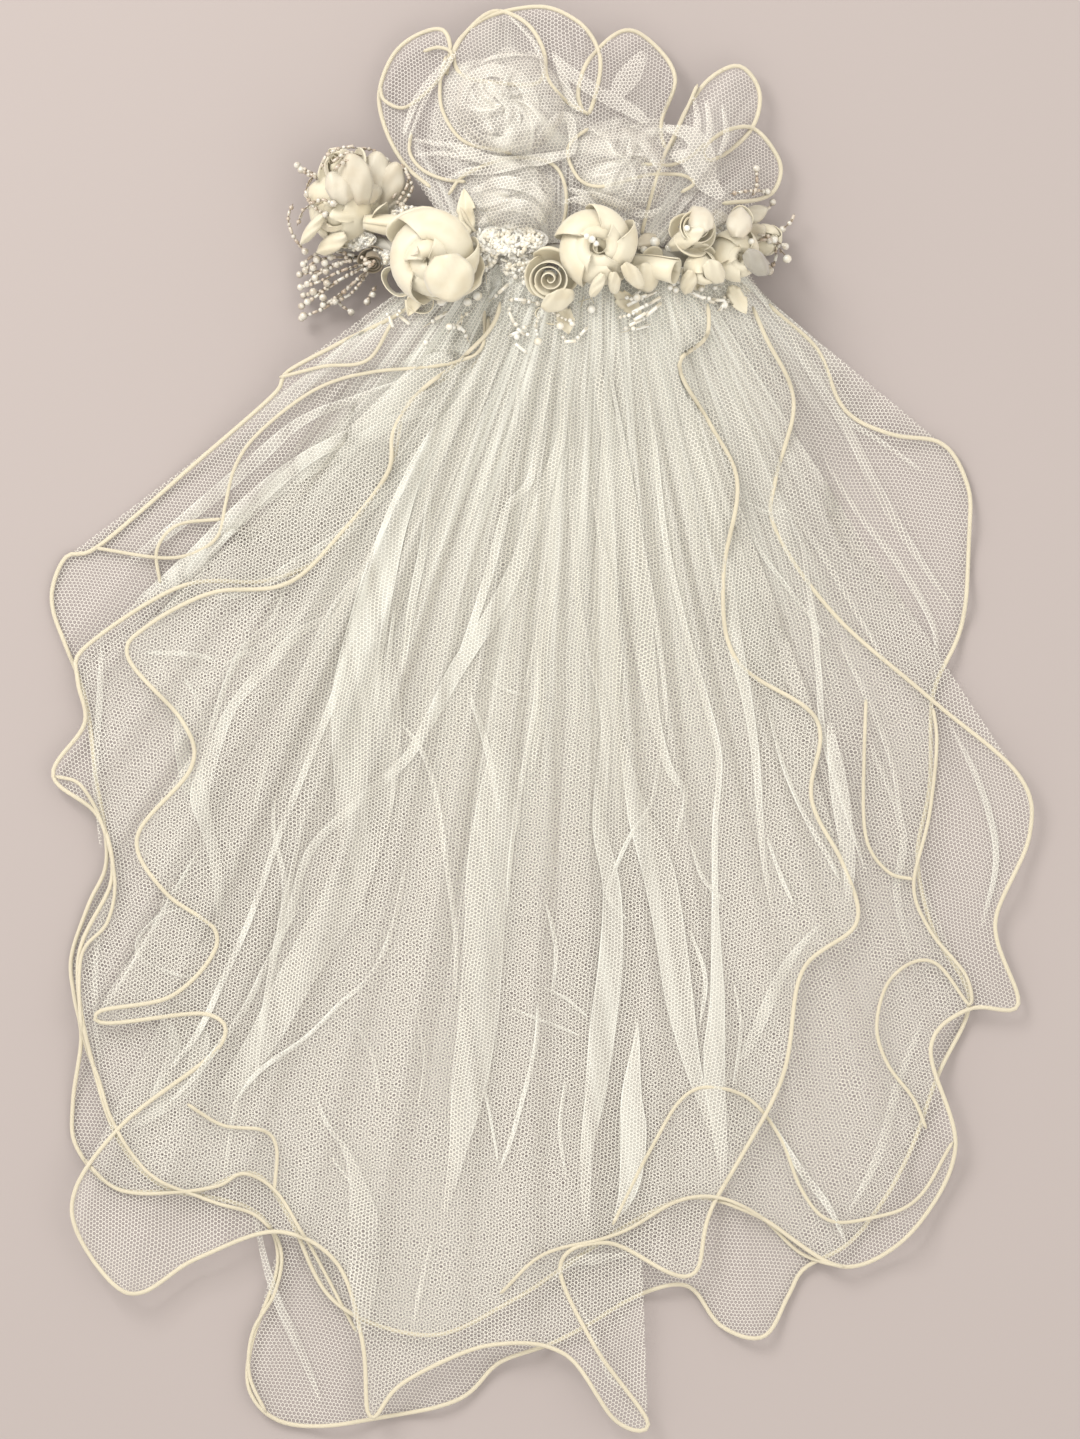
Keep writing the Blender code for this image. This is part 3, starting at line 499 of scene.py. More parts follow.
TOP_FOLDS = (
    (3.0, 9.0, (
        (475, 385, 5), (441, 427, 12), (416, 469, 16), (396, 520, 24), (380, 570, 30), (366, 620, 34),
        (352, 690, 40), (350, 760, 36), (352, 830, 28), (357, 890, 14), (362, 925, 3))),
    (5.0, 9.0, (
        (480, 378, 3), (441, 424, 6), (414, 468, 6), (388, 515, 6), (372, 566, 6), (358, 610, 7),
        (345, 655, 7), (332, 700, 8), (312, 750, 7), (276, 841, 6), (248, 921, 6), (222, 980, 6),
        (196, 1035, 6), (160, 1082, 3))),
    (3.2, 7.0, ((420, 470, 3), (403, 530, 5), (390, 590, 6), (380, 650, 6), (374, 720, 4))),
    (4.2, 9.0, (
        (552, 372, 3), (538, 439, 6), (529, 482, 8), (506, 511, 8), (491, 566, 9), (472, 625, 8),
        (449, 683, 4))),
    (4.0, 8.0, (
        (559, 380, 4), (563, 427, 8), (550, 473, 12), (538, 511, 14), (517, 566, 16), (491, 616, 16),
        (456, 670, 16), (432, 715, 12), (405, 760, 10), (360, 800, 9), (310, 850, 8), (290, 910, 8),
        (272, 960, 6), (262, 1020, 3))),
    (3.0, 8.0, (
        (563, 372, 3), (571, 435, 5), (571, 498, 5), (576, 566, 6), (582, 625, 7), (600, 690, 8),
        (606, 730, 9), (602, 780, 12), (600, 830, 14), (612, 890, 18), (611, 960, 24), (603, 1030, 26),
        (595, 1100, 20), (587, 1150, 12), (586, 1200, 9), (587, 1232, 5))),
    (3.0, 7.0, ((592, 480, 3), (601, 540, 5), (612, 583, 6), (620, 640, 5), (618, 700, 3))),
    (3.4, 7.0, (
        (596, 372, 8), (612, 440, 20), (626, 520, 28), (638, 600, 26), (648, 670, 18), (656, 720, 10),
        (670, 770, 8), (686, 795, 6), (678, 829, 4), (675, 852, 2))),
    (4.4, 9.0, ((609, 372, 3), (626, 456, 5), (641, 540, 5), (653, 604, 5), (663, 667, 5), (668, 730, 2))),
    (3.4, 8.0, (
        (647, 372, 3), (656, 456, 5), (666, 540, 6), (685, 625, 6), (706, 700, 7), (720, 760, 6),
        (716, 828, 6), (716, 905, 7), (718, 1001, 15), (715, 1050, 21), (716, 1090, 20), (722, 1150, 12),
        (724, 1190, 3))),
    (2.8, 7.0, (
        (672, 372, 5), (700, 470, 14), (722, 566, 18), (735, 640, 16), (748, 700, 10), (757, 760, 8),
        (762, 830, 6), (766, 870, 5), (778, 935, 2))),
    (3.0, 8.0, (
        (620, 726, 4), (630, 780, 12), (640, 820, 22), (658, 870, 32), (671, 937, 30), (680, 1001, 28),
        (694, 1070, 16), (716, 1143, 4))),
    (3.0, 9.0, ((662, 746, 2), (652, 803, 4), (630, 838, 4), (612, 880, 4), (609, 899, 4), (630, 924, 2))),
    (2.6, 7.0, (
        (505, 720, 14), (502, 770, 34), (498, 809, 44), (487, 870, 42), (484, 930, 40), (478, 1017, 40),
        (468, 1090, 34), (459, 1143, 20), (452, 1180, 12), (444, 1213, 5), (441, 1226, 2))),
    (3.4, 9.0, ((538, 640, 3), (536, 698, 5), (520, 790, 5), (510, 860, 4), (507, 920, 2))),
    (5.0, 9.0, ((398, 720, 3), (423, 755, 5), (437, 803, 5), (449, 886, 5), (455, 937, 5), (455, 1001, 3))),
    (5.0, 9.0, (
        (406, 860, 2), (391, 931, 5), (369, 978, 5), (337, 1007, 4), (305, 1039, 4), (257, 1074, 5),
        (228, 1112, 2))),
    (2.4, 5.0, (
        (375, 640, 30), (377, 700, 44), (376, 760, 46), (366, 830, 40), (340, 900, 40), (300, 970, 36),
        (262, 1040, 30), (220, 1100, 16))),
    (3.0, 8.0, ((468, 690, 2), (484, 739, 6), (492, 775, 5), (500, 820, 2))),
    (3.0, 8.0, ((305, 809, 2), (292, 867, 5), (281, 921, 6), (272, 960, 6), (262, 1020, 5), (252, 1096, 2))),
    (3.0, 8.0, ((273, 793, 2), (273, 835, 4), (284, 886, 5), (276, 937, 3))),
    (3.0, 8.0, ((300, 905, 2), (268, 960, 5), (241, 1014, 6), (193, 1079, 5), (160, 1112, 2))),
    (3.0, 8.0, ((538, 1000, 2), (535, 1048, 4), (522, 1103, 4), (510, 1145, 4), (498, 1176, 2))),
    (3.0, 8.0, ((484, 1090, 2), (490, 1120, 3), (498, 1165, 2))),
    (2.0, 7.0, ((541, 988, 2), (567, 1001, 3), (589, 1020, 2))),
    (2.0, 6.0, ((509, 1010, 2), (544, 1023, 3), (583, 1039, 2))),
    (3.0, 8.0, (
        (637, 1016, 2), (637, 1042, 6), (632, 1096, 20), (634, 1135, 26), (631, 1180, 22), (624, 1206, 13),
        (612, 1226, 3))),
    (2.4, 8.0, (
        (313, 1090, 2), (324, 1122, 4), (345, 1154, 6), (356, 1185, 16), (362, 1215, 28), (364, 1250, 30),
        (362, 1290, 26), (360, 1340, 10))),
    (2.6, 8.0, ((767, 700, 2), (783, 762, 4), (802, 809, 4), (825, 850, 5), (844, 886, 2))),
    (2.4, 7.0, ((767, 835, 2), (783, 880, 4), (796, 908, 2))),
    (2.0, 4.5, ((560, 560, 3), (545, 640, 8), (540, 720, 8), (530, 780, 3))),
    (2.4, 6.0, ((483, 675, 2), (505, 690, 3), (529, 696, 2))),
    (2.0, 5.0, ((551, 1286, 2), (571, 1266, 8), (600, 1262, 10), (630, 1258, 3))),
    (2.0, 5.0, ((432, 1240, 2), (420, 1290, 5), (412, 1330, 2))),
    (2.0, 5.0, ((571, 1290, 2), (590, 1330, 4), (610, 1380, 5), (630, 1400, 2))),
    (2.6, 7.0, ((330, 1160, 2), (352, 1188, 3), (372, 1206, 2))),
    (2.4, 7.0, ((415, 1010, 2), (424, 1060, 4), (418, 1110, 2))),
    (2.4, 7.0, ((545, 900, 2), (556, 950, 4), (552, 1000, 2))),
    (2.4, 7.0, ((352, 1020, 2), (372, 1060, 4), (380, 1110, 2))),
    (2.4, 7.0, ((690, 930, 2), (706, 980, 4), (700, 1030, 2))),
    (2.4, 7.0, ((566, 1080, 2), (560, 1130, 4), (566, 1180, 2))),
    (2.4, 7.0, ((395, 600, 2), (386, 680, 5), (394, 760, 4), (388, 830, 2))),
    (2.6, 7.0, ((545, 560, 2), (540, 620, 5), (524, 690, 2))),
    (2.6, 7.0, ((430, 480, 3), (424, 540, 8), (410, 610, 8), (402, 680, 3))),
    (2.4, 7.0, ((690, 840, 2), (704, 880, 4), (728, 905, 2))),
    (2.6, 7.0, ((520, 380, 3), (512, 430, 6), (486, 480, 6), (462, 540, 3))),
    (2.4, 6.0, ((734, 980, 2), (742, 1030, 3), (734, 1090, 2))),
    (2.2, 5.0, ((830, 720, 4), (836, 760, 14), (842, 800, 18), (850, 860, 14), (850, 910, 4))),
)
tier_places = {}
for tier, hem, turn, thread, seed, flat, folds in (
    ("bottom", BOTTOM_HEM, 0.1, 0.052, 15, (0.50, 0.62), BOTTOM_FOLDS),
    ("middle", MIDDLE_HEM, 0.35, 0.052, 15, (0.48, 0.62), MIDDLE_FOLDS),
    ("top", TOP_HEM, 0.62, 0.062, 12, (0.60, 0.62), TOP_FOLDS),
):
    name = tier + "_tier_net"
    edge = flowing_line(np.array(hem) * MM, TIER_COLUMNS)
    made, tier_places[tier] = gathered_net(
        name, "veil_tier_" + tier, edge, fan_roots(edge), TIER_ROWS, TIER_FULLNESS, TIER_PLEATS, TIER_PRESSED,
        folds, net_finish(name, turn, thread), seed,
    )


# Hem cords: cream cord of two twisted plies, sewn along the rolled edge of each tier. Where the fluted edge
# folds back over the net the cord runs on inside the outline.
def wound_finish(name, colour, painted_groove_shade, wound, profile, ridge, rough, sheen=0.0):
    """Plies or turns that run slantwise round a cord, with painted shade in the grooves between them."""
    made, tree, shader = new_finish(name)
    form = {"wave_type": "BANDS", "bands_direction": "DIAGONAL", "wave_profile": profile}
    turns = knot(tree, "ShaderNodeTexWave", flat_cloth(tree, *wound), 1.0, out="Fac", **form)
    # Painted shade: a darker colour in the grooves, where shade falls between the plies or turns.
    coloured(tree, shader, turns, painted_groove_shade, colour)
    relief(tree, shader, turns, *ridge)
    shader.inputs["Roughness"].default_value = rough
    shader.inputs["Sheen Weight"].default_value = sheen
    return made


def cord_finish(name, red, green, blue):
    """Twisted cord of one colour."""
    # Painted shade for the grooves: the cord's colour darkened and warmed.
    painted_groove_shade = (red * 0.9, green * 0.86, blue * 0.78)
    return wound_finish(name, (red, green, blue), painted_groove_shade, (170.0, 0.9), "SIN", (0.6, 0.0004), 0.55, 0.3)


CORD_SIDES = 8
twisted_cord = cord_finish("twisted_cord", 0.97, 0.88, 0.68)


def sewn_cord(name, line, radius, material, node=None):
    """A round cord along a line of places, with flat ends."""
    count = len(line)
    ahead = directed(np.gradient(line, axis=0))
    side = directed(np.cross(ahead, (0.0, 0.0, 1.0)))
    upper = np.cross(side, ahead)
    run = run_along(line)
    turn = np.linspace(0, 2 * math.pi, CORD_SIDES + 1)[:-1]
    girth = np.full(count, radius)
    girth[0] = girth[-1] = radius * 0.5
    rings = line[:, None] + girth[:, None, None] * (
        np.cos(turn)[None, :, None] * side[:, None] + np.sin(turn)[None, :, None] * upper[:, None]
    )
    faces, corner_uv = [], []
    for i in range(count - 1):
        here, there = i * CORD_SIDES, (i + 1) * CORD_SIDES
        for k in range(CORD_SIDES):
            n = (k + 1) % CORD_SIDES
            faces.append((here + k, here + n, there + n, there + k))
            corner_uv += [(run[i], k), (run[i], k + 1), (run[i + 1], k + 1), (run[i + 1], k)]
    last = (count - 1) * CORD_SIDES
    faces.append(tuple(range(CORD_SIDES - 1, -1, -1)))
    faces.append(tuple(last + k for k in range(CORD_SIDES)))
    corner_uv += [(0.0, 0.0)] * CORD_SIDES + [(run[-1], 0.0)] * CORD_SIDES
    return mesh_piece(name, rings.reshape(-1, 3).tolist(), faces, material, node, corner_uv)


def laid_line(surface, flat_line, above, otherwise=0.0):
    """A line laid this far above a surface."""
    return np.array([(x, y, height_at(surface, x, y, otherwise) + above) for x, y in flat_line])


def settled(line, times, weight=2):
    """The same line with its heights evened out."""
    for _ in range(times):
        line[1:-1, 2] = (line[:-2, 2] + weight * line[1:-1, 2] + line[2:, 2]) / (weight + 2)
    return line


CORD_RADIUS = 0.0012
THIN_CORD = CORD_RADIUS * 0.85
CORD_STEP = 0.0035
ROSES_HIDE_ABOVE = 0.229
OVER_ALL_TIERS = 0.0016
ON_THE_HEM = (0, 0, 0.0006)
net_surface = lying_surface("veil_tier_bottom", "veil_tier_middle", "veil_tier_top")
for tier, hem_places in tier_places.items():
    hem = hem_places[-1]
    hem = hem[hem[:, 1] < ROSES_HIDE_ABOVE]
    hem = evenly(hem, int(run_along(hem)[-1] / CORD_STEP))
    if tier == "top":
        hem[:, 2] = np.maximum(hem[:, 2], laid_line(net_surface, hem[:, :2], OVER_ALL_TIERS)[:, 2])
    sewn_cord(tier + "_hem_cord", settled(hem, 3) + ON_THE_HEM, CORD_RADIUS, twisted_cord, "hem_cord_" + tier)

FOLDED_EDGES = (
    ("shoulder_left", ((278, 376), (323, 366), (367, 361), (392, 325))),
    ("flute_left_high", (
        (485, 314), (481, 352), (443, 366), (367, 373), (312, 390), (257, 432), (233, 466), (223, 504),
        (216, 535), (192, 552), (157, 557), (92, 547))),
    ("flute_left_small", ((219, 518), (175, 524), (154, 549), (157, 583))),
    ("flute_low_left", (
        (52, 777), (78, 786), (99, 825), (112, 881), (104, 925), (78, 959), (80, 1037), (95, 1080),
        (112, 1128), (147, 1176), (203, 1202), (255, 1219), (279, 1254), (273, 1297), (251, 1336), (247, 1379),
        (264, 1418))),
    ("flute_low_inner", (
        (82, 1163), (117, 1193), (173, 1195), (216, 1189), (242, 1176), (273, 1193), (299, 1232), (325, 1280),
        (355, 1336))),
    ("flute_low_small", ((186, 1106), (221, 1128), (260, 1132), (275, 1150), (273, 1193))),
    ("flute_low_right", (
        (500, 1297), (543, 1258), (621, 1236), (673, 1206), (717, 1200), (760, 1219), (803, 1258),
        (846, 1271))),
    ("flute_right_loop", (
        (613, 1228), (652, 1150), (682, 1102), (712, 1089), (751, 1102), (782, 1141), (803, 1193), (829, 1223),
        (868, 1223), (920, 1202), (955, 1145))),
    ("flute_right_inner", (
        (936, 709), (939, 744), (932, 816), (916, 886), (933, 933), (968, 977), (972, 1007), (942, 968),
        (916, 964), (890, 985), (879, 1029), (890, 1067), (916, 1102), (929, 1132))),
    ("flute_right_thin", ((868, 700), (866, 760), (868, 838), (890, 873), (916, 881))),
)
for name, rows in FOLDED_EDGES:
    line = laid_line(net_surface, photo_line(rows, 12 * len(rows)), FOLD_LIFT)
    sewn_cord(name, settled(line, 3), THIN_CORD, twisted_cord)


# Pouf: a gathered ruffle of the same net behind the band, its corded edge lying in overlapping lobes, with two
# whorls of bunched net and a loose loop on top of it.
POUF_EDGE = (
    (431, 190), (405, 165), (386, 130), (378, 92), (390, 55), (412, 34), (440, 27), (450, 45), (446, 76),
    (449, 62), (466, 30), (495, 7), (528, 22), (545, 56), (538, 84), (500, 84), (462, 76), (455, 46),
    (486, 14), (539, 3), (575, 17), (596, 42), (600, 73), (588, 118), (578, 96), (590, 58), (625, 27),
    (656, 42), (676, 76), (661, 123), (668, 152), (686, 110), (711, 76), (741, 63), (761, 90), (751, 129),
    (712, 162), (704, 150), (728, 130), (756, 127), (781, 159), (777, 186), (758, 199), (722, 206),
)
EDGE_COLUMNS = 460
POUF_ROWS = 34
POUF_FULLNESS = 1.5
POUF_ENDS = (-0.047, 0.083)
POUF_PLEATS = ((17, 0.9, 0.0012), (37, 0.8, 0.0007), (90, 0.6, 0.0003))
POUF_PRESSED = ((0.0, 9.0), (0.3, 5.0), (0.7, 2.6), (1.0, 1.5))
pouf_net = net_finish("pouf_net", 0.5, 0.068, (0.84, 0.78, 0.7), (0.86, 0.83, 0.74))
ruffle, ruffle_places = gathered_net(
    "pouf_ruffle_net", "pouf_ruffle", photo_line(POUF_EDGE, EDGE_COLUMNS),
    along_band(np.linspace(*POUF_ENDS, EDGE_COLUMNS), BESIDE_BAND), POUF_ROWS, POUF_FULLNESS, POUF_PLEATS,
    POUF_PRESSED, (), pouf_net, 5,
)
edge_cord = settled(ruffle_places[-1] + (0, 0, 0.0008), 6)
sewn_cord("pouf_edge_cord", edge_cord, CORD_RADIUS, twisted_cord, "pouf_cord")


def heap_of_net(name, node, centre, reach, swirl, folds, rise, material, seed):
    """Net bunched and twisted into a soft heap, its folds sweeping round the middle."""
    surface = lying_surface(node, "pouf_ruffle")
    dice = random.Random(seed)
    beats = [dice.uniform(0, 6.3) for _ in range(7)]
    rows, columns = 30, 170
    angle = np.linspace(0, 2 * math.pi, columns)
    lobes = (0.12 * np.sin(2 * angle + beats[0]) + 0.1 * np.sin(3 * angle + beats[1])
             + 0.06 * np.sin(7 * angle + beats[2]))
    places = np.zeros((rows, columns, 3))
    cloth = np.zeros((rows, columns, 2))
    layers = np.zeros((rows, columns))
    for i in range(rows):
        v = i / (rows - 1)
        out = reach * (0.03 + 0.97 * v) * (1 + v * lobes)
        lead = angle + swirl * (1 - v) ** 1.3 + 0.3 * np.sin(2 * angle + beats[3] + 3 * v)
        fold = np.sin(folds * angle + 3 * np.sin(2 * angle + beats[4]) + 4 * v) + 0.6 * np.sin(
            2.3 * folds * angle + beats[5] + 6 * v * np.sin(angle + beats[6]))
        x = centre[0] + out * np.cos(lead)
        y = centre[1] + out * np.sin(lead)
        crown = rise * (1 - v**1.6) + 0.0016 * (1 + fold) * math.sin(math.pi * min(1.0, 0.12 + v))
        places[i] = np.stack([x, y, heights_at(surface, x, y) + 0.0006 + crown], axis=1)
        cloth[i] = np.stack([angle * reach, np.full(columns, v * reach)], axis=1)
        layers[i] = (2.2 + 1.6 * np.maximum(fold, 0) ** 1.5 + 3.0 * (1 - v) ** 2) * min(1.0, 9 * (1 - v) + 0.05)
    places[:, -1] = places[:, 0]
    made = cloth_grid(name, [(places, cloth, layers)], material, node)


whorl_net = net_finish("whorl_net", 0.9, 0.068, (0.95, 0.89, 0.79), (0.96, 0.92, 0.8))
heap_of_net("whorl_left_net", "pouf_puff_left", (-0.020, 0.334), 0.038, 1.1, 3, 0.006, whorl_net, 3)
heap_of_net("whorl_right_net", "pouf_puff_right", (0.048, 0.305), 0.029, 0.8, 4, 0.005, whorl_net, 8)
heap_of_net("loop_front_net", "pouf_loop_front", (-0.016, 0.284), 0.028, 0.4, 2, 0.003, whorl_net, 12)

# Folds of the bunched net: layers inside and at the edge, then points along it with its width
POUF_FOLDS = (
    (2.0, 4.5, ((506, 11, 2), (528, 34, 4), (540, 56, 5), (546, 93, 3))),
    (2.0, 4.5, ((480, 66, 2), (495, 60, 5), (517, 56, 5), (545, 60, 3))),
    (2.4, 4.5, ((554, 53, 3), (564, 84, 8), (573, 108, 8), (584, 117, 3))),
    (2.4, 4.5, ((551, 53, 4), (568, 73, 12), (593, 93, 14), (629, 112, 14), (649, 126, 6))),
    (1.7, 2.4, ((606, 112, 6), (616, 96, 16), (630, 75, 22), (645, 50, 8))),
    (3.0, 5.0, (
        (461, 118, 6), (466, 90, 12), (490, 76, 14), (517, 84, 14), (531, 107, 14), (528, 135, 14),
        (506, 151, 14), (478, 146, 12), (464, 128, 6))),
    (3.0, 5.0, ((476, 88, 4), (495, 96, 12), (510, 112, 14), (514, 134, 12), (503, 150, 5))),
    (3.0, 5.0, ((500, 90, 4), (486, 108, 14), (484, 128, 12), (494, 144, 5))),
    (3.5, 7.0, ((450, 150, 3), (470, 158, 10), (500, 168, 12), (540, 165, 12), (575, 157, 5))),
    (2.0, 4.5, ((413, 157, 2), (444, 157, 5), (478, 165, 4), (510, 166, 2))),
    (2.0, 4.5, ((411, 140, 2), (436, 146, 5), (460, 150, 5), (486, 158, 2))),
    (2.4, 4.5, ((536, 146, 3), (552, 130, 9), (568, 121, 9), (573, 150, 8), (566, 166, 3))),
    (3.0, 8.0, ((590, 133, 2), (610, 146, 5), (630, 143, 6), (626, 166, 6), (613, 182, 5), (590, 185, 2))),
    (2.4, 4.5, ((618, 134, 3), (640, 148, 8), (652, 166, 8), (660, 180, 3))),
    (3.0, 3.6, ((664, 130, 6), (690, 138, 18), (704, 160, 22), (711, 184, 10))),
    (3.0, 3.6, ((668, 160, 6), (688, 164, 20), (706, 186, 22), (722, 202, 8))),
    (2.4, 4.5, ((566, 194, 3), (590, 202, 8), (620, 212, 9), (645, 220, 8), (662, 212, 3))),
    (2.4, 4.5, ((560, 210, 3), (580, 206, 8), (610, 222, 8), (640, 232, 4))),
    (2.4, 4.5, ((694, 96, 3), (697, 126, 7), (690, 150, 6), (680, 170, 3))),
    (2.4, 4.5, ((706, 100, 3), (709, 132, 7), (700, 164, 3))),
    (2.0, 4.5, ((722, 104, 2), (726, 136, 6), (718, 160, 3))),
    (2.4, 4.5, ((402, 138, 3), (416, 101, 8), (436, 75, 8), (458, 52, 3))),
    (2.0, 4.5, ((408, 142, 2), (427, 96, 5), (453, 60, 3))),
    (2.4, 4.5, ((446, 184, 3), (470, 176, 8), (500, 176, 9), (530, 172, 3))),
    (2.5, 5.0, ((470, 196, 4), (500, 190, 12), (530, 196, 12), (550, 214, 6))),
    (2.5, 5.0, ((478, 232, 4), (500, 214, 10), (530, 216, 12), (548, 232, 4))),
)
POUF_NODES = ("pouf_ruffle", "pouf_puff_left", "pouf_puff_right", "pouf_loop_front")
OVER_HEAPS = 0.0075
LOOP_LIFT = 0.0042
pouf_surface = lying_surface(*POUF_NODES)
strips = [fold_strip(fold, pouf_surface, OVER_HEAPS) for fold in POUF_FOLDS]
bunched_folds = cloth_grid("pouf_folds_net", strips, whorl_net)

POUF_LOOPS = (
    ("loop_front_cord", (
        (449, 199), (466, 179), (512, 163), (552, 169), (566, 199), (559, 238), (532, 258), (497, 252),
        (472, 232), (461, 212))),
    ("loop_high_left_cord", ((379, 83), (384, 98), (406, 106), (437, 82), (452, 56), (440, 47), (423, 50))),
    ("ring_left_cord", ((446, 56), (440, 86), (444, 116), (466, 146), (512, 159))),
    ("ring_low_left_cord", ((411, 133), (410, 154), (423, 172), (445, 183), (466, 186))),
    ("whorl_right_cord", (
        (588, 133), (571, 147), (568, 163), (580, 186), (602, 194), (645, 183), (678, 179), (693, 187),
        (680, 197))),
    ("straight_cord", ((698, 83), (680, 125), (661, 166), (648, 210), (638, 250))),
    ("lobe_inner_cord", ((588, 118), (565, 104), (548, 84), (545, 56))),
    ("lobe_right_cord", ((704, 146), (690, 160), (668, 170), (640, 172))),
)
loop_surface = lying_surface(*POUF_NODES, "rose_large", "rose_open")
for name, rows in POUF_LOOPS:
    line = laid_line(loop_surface, photo_line(rows, 9 * len(rows)), LOOP_LIFT)
    sewn_cord(name, settled(line, 8), THIN_CORD, twisted_cord)


# Headband: wire wound slantwise with narrow grey-beige ribbon, arched over the hollow for the head.
# The second colour is painted shade in the grooves between the turns of ribbon.
wound_ribbon = wound_finish(
    "wound_ribbon", (0.66, 0.62, 0.53), (0.5, 0.46, 0.39), (60.0, 0.4), "SAW", (0.5, 0.0006), 0.5)
sewn_cord("wound_headband", flowing_line(BAND_LINE, 160), BAND_RADIUS, wound_ribbon, "headband")


# Ribbon roses: pressed petals of ivory satin ribbon, folded over at the lip and sewn round a rolled heart,
# seated on the band. Each is one rose; its petals are set ring by ring from the outside in.
def satin_finish(name, colour, shade, painted_glow):
    """Ivory satin: fine lengthwise grain, a soft sheen, warmer patches, and a painted glow that lifts its shade
    as if light came through it.
    """
    made, tree, shader = new_finish(name)
    patch = noise(tree, own_place(tree), 90.0)
    warm = ranged(tree, patch, 0.42, 0.7, 0.0, 0.7)
    coloured(tree, shader, warm, colour, shade, painted_glow)
    grain = noise(tree, flat_cloth(tree, 900.0, 60.0), 1.0)
    relief(tree, shader, grain, 0.16, 0.0003)
    gloss = ranged(tree, grain, 0.3, 0.7, 0.34, 0.46)
    tree.links.new(gloss, shader.inputs["Roughness"])
    shader.inputs["Sheen Weight"].default_value = 0.35
    return made


# Painted glow on the satins: a little light in the satin's own colour that lifts the shade in the creases of
# the petals.
ivory_satin = satin_finish("ivory_satin", (0.88, 0.8, 0.61), (0.8, 0.69, 0.48), 0.06)


def satin_piece(name, grids, wall, material, node=None):
    """Satin parts made one piece, each a grid of places that gets the ribbon's thickness."""
    points, faces, corner_uv = [], [], []
    for grid in grids:
        rows, columns = grid.shape[:2]
        start = len(points)
        points += grid.reshape(-1, 3).tolist()
        quads = grid_faces(start, rows, columns)[:, [0, 3, 2, 1]]
        faces += quads.tolist()
        across, up = run_along(grid[rows // 2]), run_along(grid[:, columns // 2])
        flat = np.stack(np.meshgrid(across, up), axis=-1).reshape(-1, 2)
        corner_uv.append(flat[quads.reshape(-1) - start])
    made = mesh_piece(name, points, faces, material, node, np.concatenate(corner_uv))
    bpy.ops.object.select_all(action="DESELECT")
    made.select_set(True)
    bpy.context.view_layer.objects.active = made
    thick = made.modifiers.new("ribbon", "SOLIDIFY")
    thick.thickness = wall
    thick.offset = 0.0
    bpy.ops.object.modifier_apply(modifier="ribbon")
    made.data.shade_smooth()


COURSE_POINTS = 40
PETAL_STEPS = 13


def pressed_petal(bearing, half_width, profile, tuck, wilt):
    """One petal: it wraps the rose's axis, one side under its neighbour, and its lip folds over inwards."""
    course = flowing_line(profile, COURSE_POINTS)
    steps = range(COURSE_POINTS)
    grid = np.zeros((PETAL_STEPS, PETAL_STEPS, 3))
    for j, s in enumerate(np.linspace(-1, 1, PETAL_STEPS)):
        for i, t in enumerate(np.linspace(0, 1, PETAL_STEPS)):
            at = steps[-1] * t * (1 - 0.24 * abs(s) ** 3)
            r = np.interp(at, steps, course[:, 0]) * (1 + tuck * s)
            z = np.interp(at, steps, course[:, 1]) + wilt * s * t * t
            angle = bearing + s * half_width * (1 - 0.36 * t * t if s > 0 else 1.0)
            grid[i, j] = (r * math.cos(angle), r * math.sin(angle), z)
    return grid


def rolled_heart(turns, foot, mouth, low, high, start):
    """Ribbon rolled into a coil: radius at its foot and mouth, height at both ends, inside to outside."""
    columns = max(16, int(26 * turns))
    grid = np.zeros((9, columns, 3))
    for j, t in enumerate(np.linspace(0, 1, columns)):
        at_foot, at_mouth, top = (first + (last - first) * t for first, last in (foot, mouth, high))
        angle = start + 2 * math.pi * turns * t
        for i, v in enumerate(np.linspace(0, 1, 9)):
            r = at_foot * (1 - v) + at_mouth * v
            r += 0.07 * math.sin(math.pi * v) + 0.05 * max(0.0, v - 0.8) * 5 * t
            z = low + (top - low) * v - 0.06 * max(0.0, v - 0.9) * 10 * t
            grid[i, j] = (r * math.cos(angle), r * math.sin(angle), z)
    return grid


# Course of a petal from its foot to its lip: distance from the rose's axis and height, as shares of its radius
BROAD = (
    (0.5, -0.85), (0.9, -0.6), (1.07, -0.12), (1.0, 0.24), (0.82, 0.48), (0.63, 0.6), (0.49, 0.57),
    (0.43, 0.42), (0.45, 0.22),
)
NESTED = (
    (0.35, -0.4), (0.66, -0.1), (0.72, 0.3), (0.6, 0.54), (0.43, 0.67), (0.3, 0.64), (0.25, 0.48), (0.27, 0.3),
)
CLOSED = (
    (0.3, -0.3), (0.58, 0.1), (0.58, 0.42), (0.43, 0.68), (0.24, 0.8), (0.11, 0.77), (0.06, 0.64), (0.08, 0.5),
)
ROUND = ((0.1, -0.7), (0.6, -0.5), (0.76, -0.05), (0.62, 0.18), (0.36, 0.28), (0.1, 0.31), (0.01, 0.31))
LOWER = ((0.4, -0.9), (0.8, -0.72), (1.06, -0.42), (1.18, -0.2), (1.24, -0.16), (1.25, -0.24))
WRAPPED = (
    (0.3, -0.9), (0.66, -0.62), (0.82, -0.1), (0.73, 0.42), (0.52, 0.84), (0.38, 0.96), (0.29, 0.88),
    (0.27, 0.68),
)
